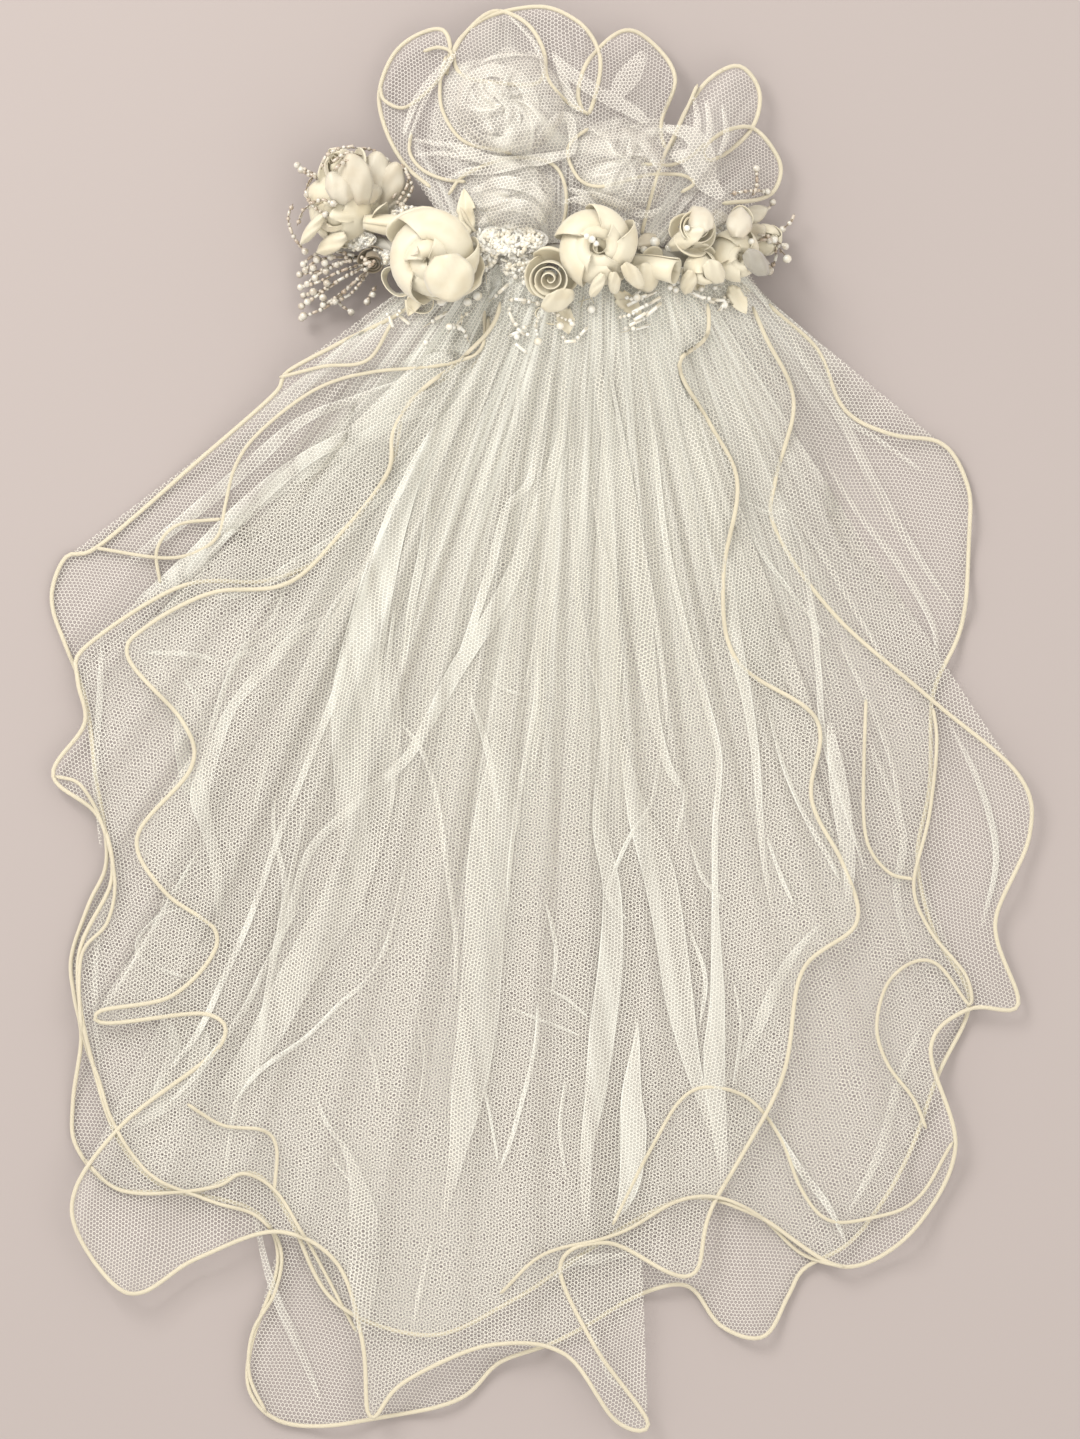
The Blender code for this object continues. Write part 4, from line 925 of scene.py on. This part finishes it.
# Rings of petals (how many, course, half width in degrees), then coils (turns, foot, mouth, low, high)
ROSE_FORMS = {
    "open": (
        ((5, BROAD, 54), (4, NESTED, 66), (2, ROUND, 104)),
        ((1.9, (0.08, 0.6), (0.05, 0.42), -0.4, (0.46, 0.4)),)),
    "large": (
        ((2, LOWER, 60), (3, BROAD, 88), (3, CLOSED, 88), (2, ROUND, 104)),
        ((1.9, (0.1, 0.6), (0.04, 0.46), -0.5, (0.74, 0.46)),)),
    "rolled": (
        ((3, LOWER, 66),),
        ((2.2, (0.05, 0.5), (0.08, 0.72), 0.0, (0.68, 0.72)),
         (1.25, (0.3, 0.5), (0.74, 0.92), -0.9, (0.7, 0.82)))),
    "tube": (
        ((1, LOWER, 80),),
        ((1.3, (0.34, 0.42), (0.56, 0.7), -1.3, (1.25, 1.3)),)),
    "bud": (
        ((2, LOWER, 56), (3, WRAPPED, 82), (2, ROUND, 104)),
        ((1.6, (0.1, 0.3), (0.05, 0.3), -0.5, (1.02, 0.92)),)),
}
RIBBON_WALL = 0.0005


def tilt(degrees):
    """Cosine and sine of a lean."""
    return math.cos(math.radians(degrees)), math.sin(math.radians(degrees))


def ribbon_rose(name, node, form, middle, radius, lean_right, lean_down, turned, material):
    """A rose made up of its rings of petals and coils, leaning as it was sewn on."""
    dice = random.Random(len(name) * 7 + turned)
    rings, hearts = ROSE_FORMS[form]
    grids = []
    for ring, (many, profile, half_width) in enumerate(rings):
        for k in range(many):
            bearing = math.radians(turned + 360.0 * (k + 0.5 * (ring % 2)) / many + dice.uniform(-8, 8))
            width = math.radians(half_width) * dice.uniform(0.92, 1.08)
            tall = dice.uniform(0.92, 1.03)
            shaped = [(r * dice.uniform(0.97, 1.03), z * tall) for r, z in profile]
            tuck, wilt = dice.uniform(0.11, 0.15), dice.uniform(0.05, 0.12)
            grids.append(pressed_petal(bearing, width, shaped, tuck, wilt))
    grids += [rolled_heart(*heart, math.radians(turned)) for heart in hearts]
    (ca, sa), (cb, sb) = tilt(lean_down), tilt(lean_right)
    lean = np.array([[cb, 0, sb], [0, 1, 0], [-sb, 0, cb]]) @ np.array([[1, 0, 0], [0, ca, -sa], [0, sa, ca]])
    grids = [(grid * radius) @ lean.T + np.array(middle) for grid in grids]
    satin_piece(name, grids, RIBBON_WALL, material, node)


# Painted shade: the rose that lies low in shade beside the band gets a dark brown copy of the ivory satin.
shadowed_satin = satin_finish("shadowed_satin", (0.36, 0.29, 0.2), (0.3, 0.23, 0.15), 0.02)
# Which solid, form, size against the solid, lean to the right and down, and turn, in degrees
ROSES = (
    ("left_end", "large", 1.12, -38, 26, 20), ("left_bud", "tube", 1.15, 78, 8, 80),
    ("left_top", "bud", 1.0, -20, -20, 10), ("shadowed", "rolled", 1.0, 0, 40, 40),
    ("large", "large", 1.08, -12, 14, 118), ("rolled", "rolled", 1.05, -5, 22, 200),
    ("open", "open", 1.06, 4, 6, 54), ("tube", "tube", 1.2, 68, 14, 0), ("small", "rolled", 1.05, 16, -16, 130),
    ("bud", "bud", 1.1, 26, 24, 75), ("right", "open", 1.12, 24, 12, 20),
    ("right_end", "bud", 1.05, 36, 5, 160),
)
for name, form, grown, *lie in ROSES:
    low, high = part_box("rose_" + name)
    radius = min(high.x - low.x, high.y - low.y) / 2 * grown
    satin = shadowed_satin if name == "shadowed" else ivory_satin
    ribbon_rose("satin_rose_" + name, "rose_" + name, form, (low + high) / 2, radius, *lie, satin)


# Satin leaves: pointed ovals folded along the middle, with a turned edge, sewn under the roses.
# Which solid, root in millimetres, bearing in degrees, length and width
LEAVES = (
    ("leaf_upright", (-39, 262), 355, 28, 11), ("leaf_under_large", (-66, 238), 200, 18, 10),
    ("leaf_under_rolled", (12, 227), 168, 17, 11), ("leaf_under_open", (40, 234), 130, 20, 11),
    ("leaf_right", (104, 238), 150, 18, 10),
)
LEAF_WALL = 0.0006
for name, root, bearing, length, width in LEAVES:
    surface = lying_surface(name)
    north, east = tilt(bearing)
    grid = np.zeros((15, 9, 3))
    for i, t in enumerate(np.linspace(0.02, 1, 15)):
        half = width / 2 * (math.sin(math.pi * min(1.0, t) ** 0.8) ** 0.8 + 0.03)
        for j, s in enumerate(np.linspace(-1, 1, 9)):
            x = (root[0] + east * length * t + north * half * s) * MM
            y = (root[1] + north * length * t - east * half * s) * MM
            fold = 0.0011 * abs(s) ** 0.8 - 0.0004 * max(0.0, abs(s) - 0.8) * 5
            grid[i, j] = (x, y, height_at(surface, x, y) + 0.0001 + fold * 0.5)
    satin_piece("satin_" + name, [grid], LEAF_WALL, ivory_satin, name)


# Ribbon ends: folded and curled ends of the same ribbon and of stiff organza, sewn in between the roses so that
# they hide the wire. Each runs from its root to its tip, cupped across.
band_surface = lying_surface(*[n for n in cad if not n.startswith(("pouf", "veil", "hem"))])
# Painted glow on the organza too, as on the ivory satin.
organza = satin_finish("organza", (0.88, 0.8, 0.64), (0.78, 0.66, 0.48), 0.06)
organza.node_tree.nodes["Principled BSDF"].inputs["Alpha"].default_value = 0.82
# Grey satin for the ribbon end at the right of the band, made darker still as painted shade, since that end
# lies in shade.
grey_and_shaded_satin = satin_finish("grey_and_shaded_satin", (0.52, 0.48, 0.4), (0.44, 0.39, 0.3), 0.03)
NOTHING_BELOW = 0.02


def ribbon_end(name, start, end, width, cup, lift, tip, material):
    """A folded end of ribbon between two places of the photograph; tip 0 is pointed and 1 is blunt."""
    (x0, y0), (x1, y1) = on_photo(*start), on_photo(*end)
    z0, z1 = (height_at(band_surface, x, y, NOTHING_BELOW) for x, y in ((x0, y0), (x1, y1)))
    length = math.hypot(x1 - x0, y1 - y0)
    ax, ay = (x1 - x0) / length, (y1 - y0) / length
    half = width * PIXEL / 2
    grid = np.zeros((13, 11, 3))
    for i, t in enumerate(np.linspace(0, 1, 13)):
        round_off = math.sqrt(max(0.0, 1 - max(0.0, (t - 0.35) / 0.65) ** 2)) * (1 - tip) + tip
        wide = half * (0.45 + 0.55 * math.sin(math.pi / 2 * min(1.0, t * 2.2))) * max(0.06, round_off)
        for j, s in enumerate(np.linspace(-1, 1, 11)):
            rise = lift * MM * math.sin(math.pi * min(1.0, 0.2 + 0.7 * t)) + cup * half * (1 - s * s)
            rise += 0.0007 * math.sin(9 * t + 5 * s)
            run = length * t * (1 - 0.32 * tip * s * s * t)
            grid[i, j] = (
                x0 + ax * run - ay * wide * s, y0 + ay * run + ax * wide * s,
                z0 + (max(z1, z0 - 0.012) - z0) * t + 0.001 + rise,
            )
    satin_piece(name, [grid], RIBBON_WALL, material)


RIBBON_ENDS = (
    ("petal_end_top", (380, 203), (330, 219), 24, 0.5, 7, 0.8, ivory_satin),
    ("petal_end_top_back", (366, 192), (324, 206), 16, 0.6, 7, 0.7, ivory_satin),
    ("petal_end_left", (324, 216), (300, 244), 12, 0.9, 5, 0.4, ivory_satin),
    ("petal_end_low", (346, 236), (316, 252), 18, 0.5, 4, 0.3, ivory_satin),
    ("petal_end_inner", (372, 214), (344, 246), 28, 0.5, 6, 0.6, ivory_satin),
    ("organza_left_a", (350, 204), (330, 176), 26, 0.7, 5, 0.8, organza),
    ("organza_left_b", (362, 206), (350, 157), 34, 0.5, 6, 0.9, organza),
    ("organza_left_c", (374, 206), (377, 152), 34, 0.5, 7, 0.9, organza),
    ("organza_left_d", (384, 208), (397, 163), 28, 0.6, 6, 0.8, organza),
    ("organza_left_e", (386, 210), (409, 182), 20, 0.7, 5, 0.7, organza),
    ("organza_left_f", (366, 206), (362, 174), 36, 0.5, 10, 0.9, organza),
    ("ribbon_large_back", (470, 240), (428, 222), 24, 0.4, 5, 0.7, ivory_satin),
    ("ribbon_large_low", (448, 264), (454, 309), 50, 0.42, 4, 0.6, ivory_satin),
    ("ribbon_between_a", (512, 240), (498, 276), 24, 0.4, 4, 0.3, organza),
    ("ribbon_between_b", (524, 262), (520, 292), 22, 0.3, 3, 0.9, ivory_satin),
    ("ribbon_between_c", (544, 252), (530, 276), 18, 0.3, 5, 0.7, ivory_satin),
    ("ribbon_between_d", (540, 236), (504, 250), 22, 0.4, 6, 0.4, organza),
    ("ribbon_between_e", (500, 244), (472, 256), 22, 0.4, 5, 0.4, organza),
    ("ribbon_rolled_low", (554, 298), (562, 315), 36, 0.2, 1, 0.5, ivory_satin),
    ("leaf_end_open_a", (602, 282), (590, 303), 12, 0.7, 3, 0.05, ivory_satin),
    ("leaf_end_open_b", (612, 280), (614, 300), 13, 0.7, 3, 0.05, ivory_satin),
    ("leaf_end_open_c", (622, 272), (642, 294), 16, 0.6, 3, 0.05, ivory_satin),
    ("leaf_end_open_d", (574, 288), (582, 306), 16, 0.5, 2, 0.2, ivory_satin),
    ("ribbon_tube_back", (636, 250), (668, 236), 18, 0.5, 4, 0.6, organza),
    ("ribbon_tube_low", (640, 270), (650, 296), 26, 0.4, 4, 0.8, ivory_satin),
    ("ribbon_curled", (668, 252), (702, 236), 18, 0.8, 7, 0.8, ivory_satin),
    ("ribbon_bud_low", (690, 276), (684, 298), 16, 0.5, 2, 0.3, ivory_satin),
    ("ribbon_bud_right", (704, 268), (722, 286), 20, 0.5, 4, 0.5, ivory_satin),
    ("organza_right_a", (706, 238), (690, 212), 26, 0.5, 6, 0.5, organza),
    ("organza_right_b", (722, 240), (716, 208), 28, 0.5, 7, 0.5, organza),
    ("organza_right_c", (736, 242), (740, 210), 26, 0.5, 6, 0.5, organza),
    ("organza_right_d", (712, 250), (748, 232), 24, 0.4, 7, 0.5, organza),
    ("organza_right_e", (744, 240), (766, 226), 20, 0.5, 4, 0.4, organza),
    ("satin_tab", (738, 222), (768, 206), 18, 0.2, 4, 0.9, organza),
    ("leaf_end_right_a", (724, 278), (752, 290), 16, 0.6, 3, 0.3, ivory_satin),
    ("leaf_end_right_b", (728, 284), (748, 300), 10, 0.6, 2, 0.2, ivory_satin),
    ("grey_end", (744, 256), (767, 277), 21, 0.9, 3, 0.5, grey_and_shaded_satin),
    ("ribbon_left_join", (402, 232), (420, 214), 14, 0.6, 4, 0.5, organza),
    ("ribbon_left_under", (398, 246), (420, 262), 18, 0.5, 3, 0.5, organza),
)
for row in RIBBON_ENDS:
    ribbon_end(*row)

# Ribbon loops: short ends of the same ribbon sewn in loops under the roses. Place in the photograph, bearing in
# degrees, length and width in millimetres, and height
LOOPS = (
    ("loop_left_low", (414, 272), 235, 16, 9, 0.044), ("loop_left_lower", (428, 290), 205, 13, 7, 0.044),
    ("loop_rolled_low", (556, 303), 200, 12, 8, 0.052), ("loop_right_high", (728, 226), 60, 12, 6, 0.036),
)
for name, (px, py), bearing, length, width, height in LOOPS:
    x, y = on_photo(px, py)
    east, north = tilt(90 - bearing)
    grid = np.zeros((6, 25, 3))
    for j, t in enumerate(np.linspace(0, 1, 25)):
        out = length * MM * (0.5 - 0.5 * math.cos(2 * math.pi * t))
        side = width * MM * math.sin(2 * math.pi * t) * (0.35 + 0.65 * math.sin(math.pi * t))
        for i, v in enumerate(np.linspace(0, 1, 6)):
            spread = side * (1 + 0.25 * v)
            lean = out + 0.004 * v * t
            grid[i, j] = (
                x + lean * east - spread * north,
                y + lean * north + spread * east,
                height + 0.008 * (v - 0.5) - 0.003 * out / 0.015,
            )
    satin_piece("satin_" + name, [grid], RIBBON_WALL, ivory_satin)


# Pearls, seed beads and bugles: glass and imitation pearls strung on wire or sewn on one by one, white over the
# veil and bronzed at both ends of the band. Each group of beads is one piece.
def bead_finish(name, colour, shade, rough, painted_glow=0.0):
    """Glossy bead: pearly colour that differs a little from bead to bead."""
    made, tree, shader = new_finish(name)
    patch = noise(tree, own_place(tree), 260.0)
    warm = ranged(tree, patch, 0.4, 0.62, 0.0, 1.0)
    coloured(tree, shader, warm, colour, shade, painted_glow)
    for part, value in (
        ("Roughness", rough), ("Specular IOR Level", 0.8), ("Coat Weight", 0.6), ("Coat Roughness", 0.12),
    ):
        shader.inputs[part].default_value = value
    return made


# Painted glow on the white beads: a little light in their own colour that keeps them bright where they lie in
# shade.
white_bead = bead_finish("white_bead", (0.96, 0.93, 0.84), (0.88, 0.8, 0.64), 0.16, 0.07)
bronze_bead = bead_finish("bronze_bead", (0.76, 0.66, 0.53), (0.5, 0.38, 0.27), 0.2)
silver_bead = bead_finish("silver_bead", (0.88, 0.83, 0.72), (0.64, 0.55, 0.43), 0.16)
gold_wire = cord_finish("gold_wire", 0.4, 0.29, 0.17)
BEAD_SIDES = 8
# Rings of a bead: how far along it and how wide, as shares of its half length and radius
BUGLE_RINGS = ((-1.0, 0.7), (-0.93, 1.0), (0.0, 1.0), (0.93, 1.0), (1.0, 0.7))
ROUND_RINGS = [(-math.cos(math.pi * k / 6), math.sin(math.pi * k / 6)) for k in range(1, 6)]
ROUND_BEAD = (0, 0, 0)


def sewn_beads(name, beads, material, node=None):
    """Beads as one piece: each has its middle, its radius and half its length as a vector (none if round)."""
    points, faces = [], []
    for middle, radius, half in beads:
        middle, half = np.array(middle, float), np.array(half, float)
        length = np.linalg.norm(half)
        axis = half / length if length else np.array((0.0, 0.0, 1.0))
        side = np.cross(axis, (0.3, 0.9, 0.2))
        side /= np.linalg.norm(side)
        other = np.cross(axis, side)
        tip = axis * (length + radius * (0.1 if length else 1.0))
        start = len(points)
        points.append(middle - tip)
        for at, girth in BUGLE_RINGS if length else ROUND_RINGS:
            ring = middle + axis * (at * (length or radius))
            for k in range(BEAD_SIDES):
                turn = 2 * math.pi * k / BEAD_SIDES
                points.append(ring + girth * radius * (math.cos(turn) * side + math.sin(turn) * other))
        points.append(middle + tip)
        first, last = start + 1, len(points) - 1
        for k in range(BEAD_SIDES):
            n = (k + 1) % BEAD_SIDES
            faces.append((start, first + n, first + k))
            for a in range(first, last - BEAD_SIDES, BEAD_SIDES):
                faces.append((a + k, a + n, a + BEAD_SIDES + n, a + BEAD_SIDES + k))
            faces.append((last - BEAD_SIDES + k, last - BEAD_SIDES + n, last))
    mesh_piece(name, [tuple(p) for p in points], faces, material, node)


trim_surface = lying_surface(*cad)
STRING_LIFT = 0.0034


def over_trim(x, y, above):
    """A place this far above the trimmings."""
    return x, y, height_at(trim_surface, x, y, NOTHING_BELOW) + above


def strung(row, pattern, lift):
    """Beads along a line of the photograph, after a pattern of radii, lengths and gaps in millimetres."""
    line = photo_line(row, 60)
    run = run_along(line)
    beads, at, k = [], 0.001, 0
    while True:
        radius, length, gap = (MM * part for part in pattern[k % len(pattern)])
        reach = max(length / 2, radius)
        middle = at + reach
        if middle + reach > run[-1]:
            return beads
        here, next_to = (np.array([np.interp(spot, run, line[:, 0]), np.interp(spot, run, line[:, 1]), 0.0])
                         for spot in (middle, middle + 0.001))
        ahead = next_to - here
        ahead /= max(np.linalg.norm(ahead), 1e-9)
        beads.append((over_trim(here[0], here[1], lift), radius, ahead * length / 2))
        at = middle + reach + gap
        k += 1


SEEDS = ((1.0, 0, 0.2), (1.0, 0, 0.2), (1.3, 0, 0.3))
SEED_AND_BUGLE = ((1.2, 0, 0.2), (1.0, 6.5, 0.3), (1.4, 0, 0.2), (1.0, 5.5, 0.3))
BUGLES = ((1.05, 7.5, 0.3), (1.3, 0, 0.2))
SPACED = ((1.2, 0, 2.0), (0.8, 4.0, 1.2), (1.4, 0, 2.4))
# Strings of white beads below the roses: which spray they stand for, the pattern and the points along each
WHITE_STRINGS = (
    ("front_left", (
        (BUGLES, ((449, 314), (437, 321), (424, 329))), (SEED_AND_BUGLE, ((450, 326), (462, 331), (470, 345))),
        (SEED_AND_BUGLE, ((386, 312), (391, 322), (394, 331))), (BUGLES, ((398, 316), (410, 326))),
        (SEEDS, ((402, 310), (396, 320))), (SPACED, ((470, 314), (458, 326), (448, 336))),
        (SEEDS, ((462, 316), (462, 328))))),
    ("front_middle", (
        (BUGLES, ((486, 274), (487, 288))), (BUGLES, ((510, 287), (500, 296), (489, 306))),
        (SEED_AND_BUGLE, ((508, 304), (522, 304), (540, 308))),
        (SEED_AND_BUGLE, ((509, 309), (512, 322), (521, 335), (531, 340))),
        (BUGLES, ((508, 340), (521, 334), (531, 328))), (BUGLES, ((514, 346), (528, 357))),
        (SEED_AND_BUGLE, ((560, 338), (572, 345), (588, 330))), (SEEDS, ((548, 312), (562, 322), (574, 326))),
        (BUGLES, ((584, 300), (580, 312))), (BUGLES, ((578, 306), (592, 302))),
        (BUGLES, ((588, 296), (594, 308))), (SEEDS, ((540, 318), (536, 330), (538, 342))))),
    ("front_right", (
        (BUGLES, ((657, 294), (640, 303), (624, 311))), (BUGLES, ((661, 300), (645, 310), (630, 318))),
        (BUGLES, ((662, 306), (646, 317), (630, 327))), (BUGLES, ((657, 311), (640, 324), (622, 333))),
        (BUGLES, ((648, 298), (634, 303), (618, 304))), (BUGLES, ((641, 292), (632, 300), (622, 303))),
        (SEEDS, ((616, 322), (628, 320), (640, 314))), (BUGLES, ((650, 328), (636, 332), (620, 336))),
        (SEED_AND_BUGLE, ((682, 292), (700, 300), (716, 306))), (BUGLES, ((690, 298), (712, 302), (730, 303))),
        (SEED_AND_BUGLE, ((724, 296), (722, 308), (716, 314))))),
)
THREAD_RADIUS = 0.00022
for name, strings in WHITE_STRINGS:
    beads = [bead for pattern, row in strings for bead in strung(row, pattern, STRING_LIFT)]
    sewn_beads("white_beads_" + name, beads, white_bead, "spray_" + name)
    for k, (_, row) in enumerate(strings):
        line = laid_line(trim_surface, photo_line(row, 10), STRING_LIFT, NOTHING_BELOW)
        sewn_cord(f"thread_{name}_{k}", line, THREAD_RADIUS, twisted_cord)

# Bronzed stems at the ends of the band: wire with seed beads and bugles, a pearl at most tips. Which spray they
# stand for, how far they stand above the trimmings, and the points along each
BRONZE_STEMS = (
    ("left_low", 0.002, (
        ((378, 262), (350, 272), (322, 290), (300, 304)), ((376, 264), (356, 278), (330, 302), (300, 316)),
        ((370, 260), (340, 270), (318, 280), (299, 285)), ((366, 258), (336, 262), (316, 270), (298, 272)),
        ((372, 262), (340, 278), (318, 290), (302, 293)), ((374, 264), (352, 282), (334, 296), (322, 303)),
        ((362, 258), (334, 256), (314, 260), (304, 268)), ((370, 268), (352, 290), (338, 300), (350, 310)),
        ((376, 284), (370, 292), (366, 300)), ((360, 256), (330, 250), (312, 254), (302, 262)),
        ((352, 258), (326, 268), (312, 276), (306, 282)))),
    ("left_high", 0.006, (
        ((318, 176), (308, 170), (296, 163)), ((318, 180), (306, 172), (300, 168)),
        ((292, 202), (287, 216), (292, 234), (304, 250)),
        ((322, 172), (328, 158), (346, 150), (370, 148), (386, 160)),
        ((326, 180), (312, 176), (306, 190), (312, 206), (326, 216)),
        ((296, 224), (304, 208), (322, 202), (334, 206)), ((386, 162), (404, 168), (408, 184), (396, 206)),
        ((332, 166), (350, 156), (372, 160), (384, 178), (380, 200)), ((392, 170), (398, 186), (390, 204)),
        ((340, 196), (350, 186), (362, 194)), ((334, 174), (350, 164), (368, 170), (374, 188)),
        ((400, 166), (408, 176), (412, 190), (402, 206)), ((352, 178), (364, 184), (366, 200)))),
    ("right", 0.002, (
        ((752, 234), (768, 236), (786, 246)), ((758, 240), (774, 240), (788, 257)),
        ((762, 252), (770, 262), (771, 270)), ((776, 246), (777, 256), (772, 268)),
        ((752, 196), (757, 186), (757, 168)), ((730, 196), (752, 191), (768, 190)),
        ((760, 212), (770, 206), (774, 200)), ((796, 211), (792, 220), (784, 227)),
        ((744, 224), (758, 232), (770, 240)))),
)
BRONZE_PATTERN = ((1.1, 0, 0.3), (0.95, 4.0, 0.3), (1.4, 0, 0.4), (0.9, 3.0, 0.3), (1.2, 0, 0.8))
WIRE_RADIUS = 0.0003
TIP_PEARL = 0.0021
for name, lift, stems in BRONZE_STEMS:
    bronze, silver = [], []
    for k, row in enumerate(stems):
        beads = strung(row, BRONZE_PATTERN[k % 3:] + BRONZE_PATTERN[:k % 3], lift)
        bronze += beads[::2]
        silver += beads[1::2]
        silver.append((over_trim(*on_photo(*row[-1]), lift), TIP_PEARL, ROUND_BEAD))
        line = laid_line(trim_surface, photo_line(row, 14), lift, NOTHING_BELOW)
        sewn_cord(f"wire_{name}_{k}", settled(line, 1, 1), WIRE_RADIUS, gold_wire)
    sewn_beads("bronze_beads_" + name, bronze, bronze_bead, "spray_" + name)
    sewn_beads("pearl_beads_" + name, silver, silver_bead)

# Single pearls: place in the photograph, radius in its pixels and, where it isn't the usual one, the lift
PEARLS = (
    (442, 304, 5.5), (468, 305, 5), (478, 299, 5.5), (486, 270, 3.8), (525, 287, 3.6), (426, 344, 3.4),
    (538, 345, 4.6), (517, 340, 3.6), (450, 330, 4.2), (460, 330, 3.4), (328, 239, 4.2), (370, 235, 3.4),
    (654, 246, 6.2), (643, 254, 4.4), (668, 251, 4.6), (591, 313, 4.8), (524, 305, 3.2), (538, 307, 3.2),
    (560, 330, 4.4), (572, 328, 3.4), (636, 302, 4.4), (672, 287, 4.2), (678, 284, 4.2), (682, 290, 4.4),
    (675, 293, 4.0), (669, 291, 3.6), (724, 307, 4.2), (788, 258, 5.0), (749, 223, 4.2), (775, 239, 4.0),
    (750, 245, 4.0), (685, 235, 3.6), (591, 249, 4.2, 1), (586, 246, 3.4, 1), (595, 253, 3.4, 1),
    (340, 247, 3.2), (350, 244, 3.4), (362, 242, 3.0), (700, 292, 3.4), (714, 290, 3.0), (388, 206, 3.2),
    (396, 212, 3.0), (372, 293, 3.4),
)
CHAMPAGNE_PEARLS = (
    (316, 258, 4.6), (324, 262, 4.2), (312, 266, 4.2), (330, 256, 4.2), (319, 250, 3.6), (325, 270, 4.0),
    (336, 264, 3.6), (314, 276, 4.4), (326, 282, 4.2), (312, 290, 4.6), (322, 296, 4.4), (334, 300, 4.0),
    (306, 300, 4.2), (302, 314, 4.6),
)
# Metres for each pixel of a pearl's radius: its own radius, and how high its middle lies over what is below
PEARL_RADIUS = 0.00052
PEARL_SEAT = 0.0004
# The usual lift of a pearl beyond that, in metres
PEARL_LIFT = 0.0015
for name, places, finish in (
    ("single_pearls", PEARLS, white_bead), ("champagne_pearls", CHAMPAGNE_PEARLS, silver_bead),
):
    pearls = []
    for px, py, size, *higher in places:
        x, y = on_photo(px, py)
        rise = MM * higher[0] if higher else PEARL_LIFT
        z = height_at(trim_surface, x, y, NOTHING_BELOW) + size * PEARL_SEAT + rise
        pearls.append(((x, y, z), size * PEARL_RADIUS, ROUND_BEAD))
    sewn_beads(name, pearls, finish)

# Beaded lace: fine net crusted with seed beads, filling the gaps along the band. Middle and size in pixels of
# the photograph, how many beads, and how far the patch stands above the band in millimetres
LACE = (
    ("lace_back_left", (450, 224), (44, 20), 70, 4.0), ("lace_cream", (480, 260), (34, 28), 90, 5.0),
    ("lace_middle", (508, 245), (72, 28), 230, 8.0), ("lace_rolled", (520, 270), (36, 24), 60, 4.0),
    ("lace_left_end", (350, 240), (48, 18), 60, 5.0), ("lace_join", (408, 218), (34, 20), 50, 5.0),
    ("lace_right", (716, 236), (70, 20), 60, 4.0), ("lace_right_end", (750, 240), (30, 26), 40, 3.0),
    ("lace_under_bud", (704, 290), (50, 17), 36, 1.5), ("lace_left_row", (376, 259), (36, 17), 40, 3.0),
)
LACE_ROWS, LACE_COLUMNS = 14, 18
LACE_HALF = 0.56
LACE_LAYERS = 6.0
dice = random.Random(41)


def over_band(x, y, above):
    """Height of a patch that is wrapped over the band and falls away in front of it and behind it."""
    crest = np.interp(x, band_points[:, 0], band_points[:, 2]) + BAND_RADIUS + MM * above
    return max(0.004, float(crest - 18 * (y - np.interp(x, band_points[:, 0], band_points[:, 1])) ** 2))


for name, (px, py), (wide, tall), many, above in LACE:
    beads = []
    for _ in range(many):
        turn, out = dice.uniform(0, 2 * math.pi), dice.random() ** 0.5
        x, y = on_photo(px + wide / 2 * out * math.cos(turn), py + tall / 2 * out * math.sin(turn))
        z = over_band(x, y, above) + dice.uniform(-0.0002, 0.0012)
        if dice.random() < 0.25:
            aim = dice.uniform(0, math.pi)
            beads.append(((x, y, z), 0.0007, (0.002 * math.cos(aim), 0.002 * math.sin(aim), 0.0005)))
        else:
            beads.append(((x, y, z), dice.uniform(0.0009, 0.0016), ROUND_BEAD))
    sewn_beads(name + "_beads", beads, white_bead)
    places = np.zeros((LACE_ROWS, LACE_COLUMNS, 3))
    for i, v in enumerate(np.linspace(-1, 1, LACE_ROWS)):
        for j, u in enumerate(np.linspace(-1, 1, LACE_COLUMNS)):
            round_u, round_v = u * math.sqrt(1 - v * v / 2), v * math.sqrt(1 - u * u / 2)
            x, y = on_photo(px + wide * LACE_HALF * round_u, py + tall * LACE_HALF * round_v)
            waver = 0.0006 * math.sin(7 * u + 3 * v) + 0.0006 * math.sin(5 * v - 9 * u)
            places[i, j] = (x, y, over_band(x, y, above) + waver)
    layers = np.full((LACE_ROWS, LACE_COLUMNS), LACE_LAYERS)
    lace = cloth_grid(name, [(places, places[:, :, :2], layers)], pouf_net)
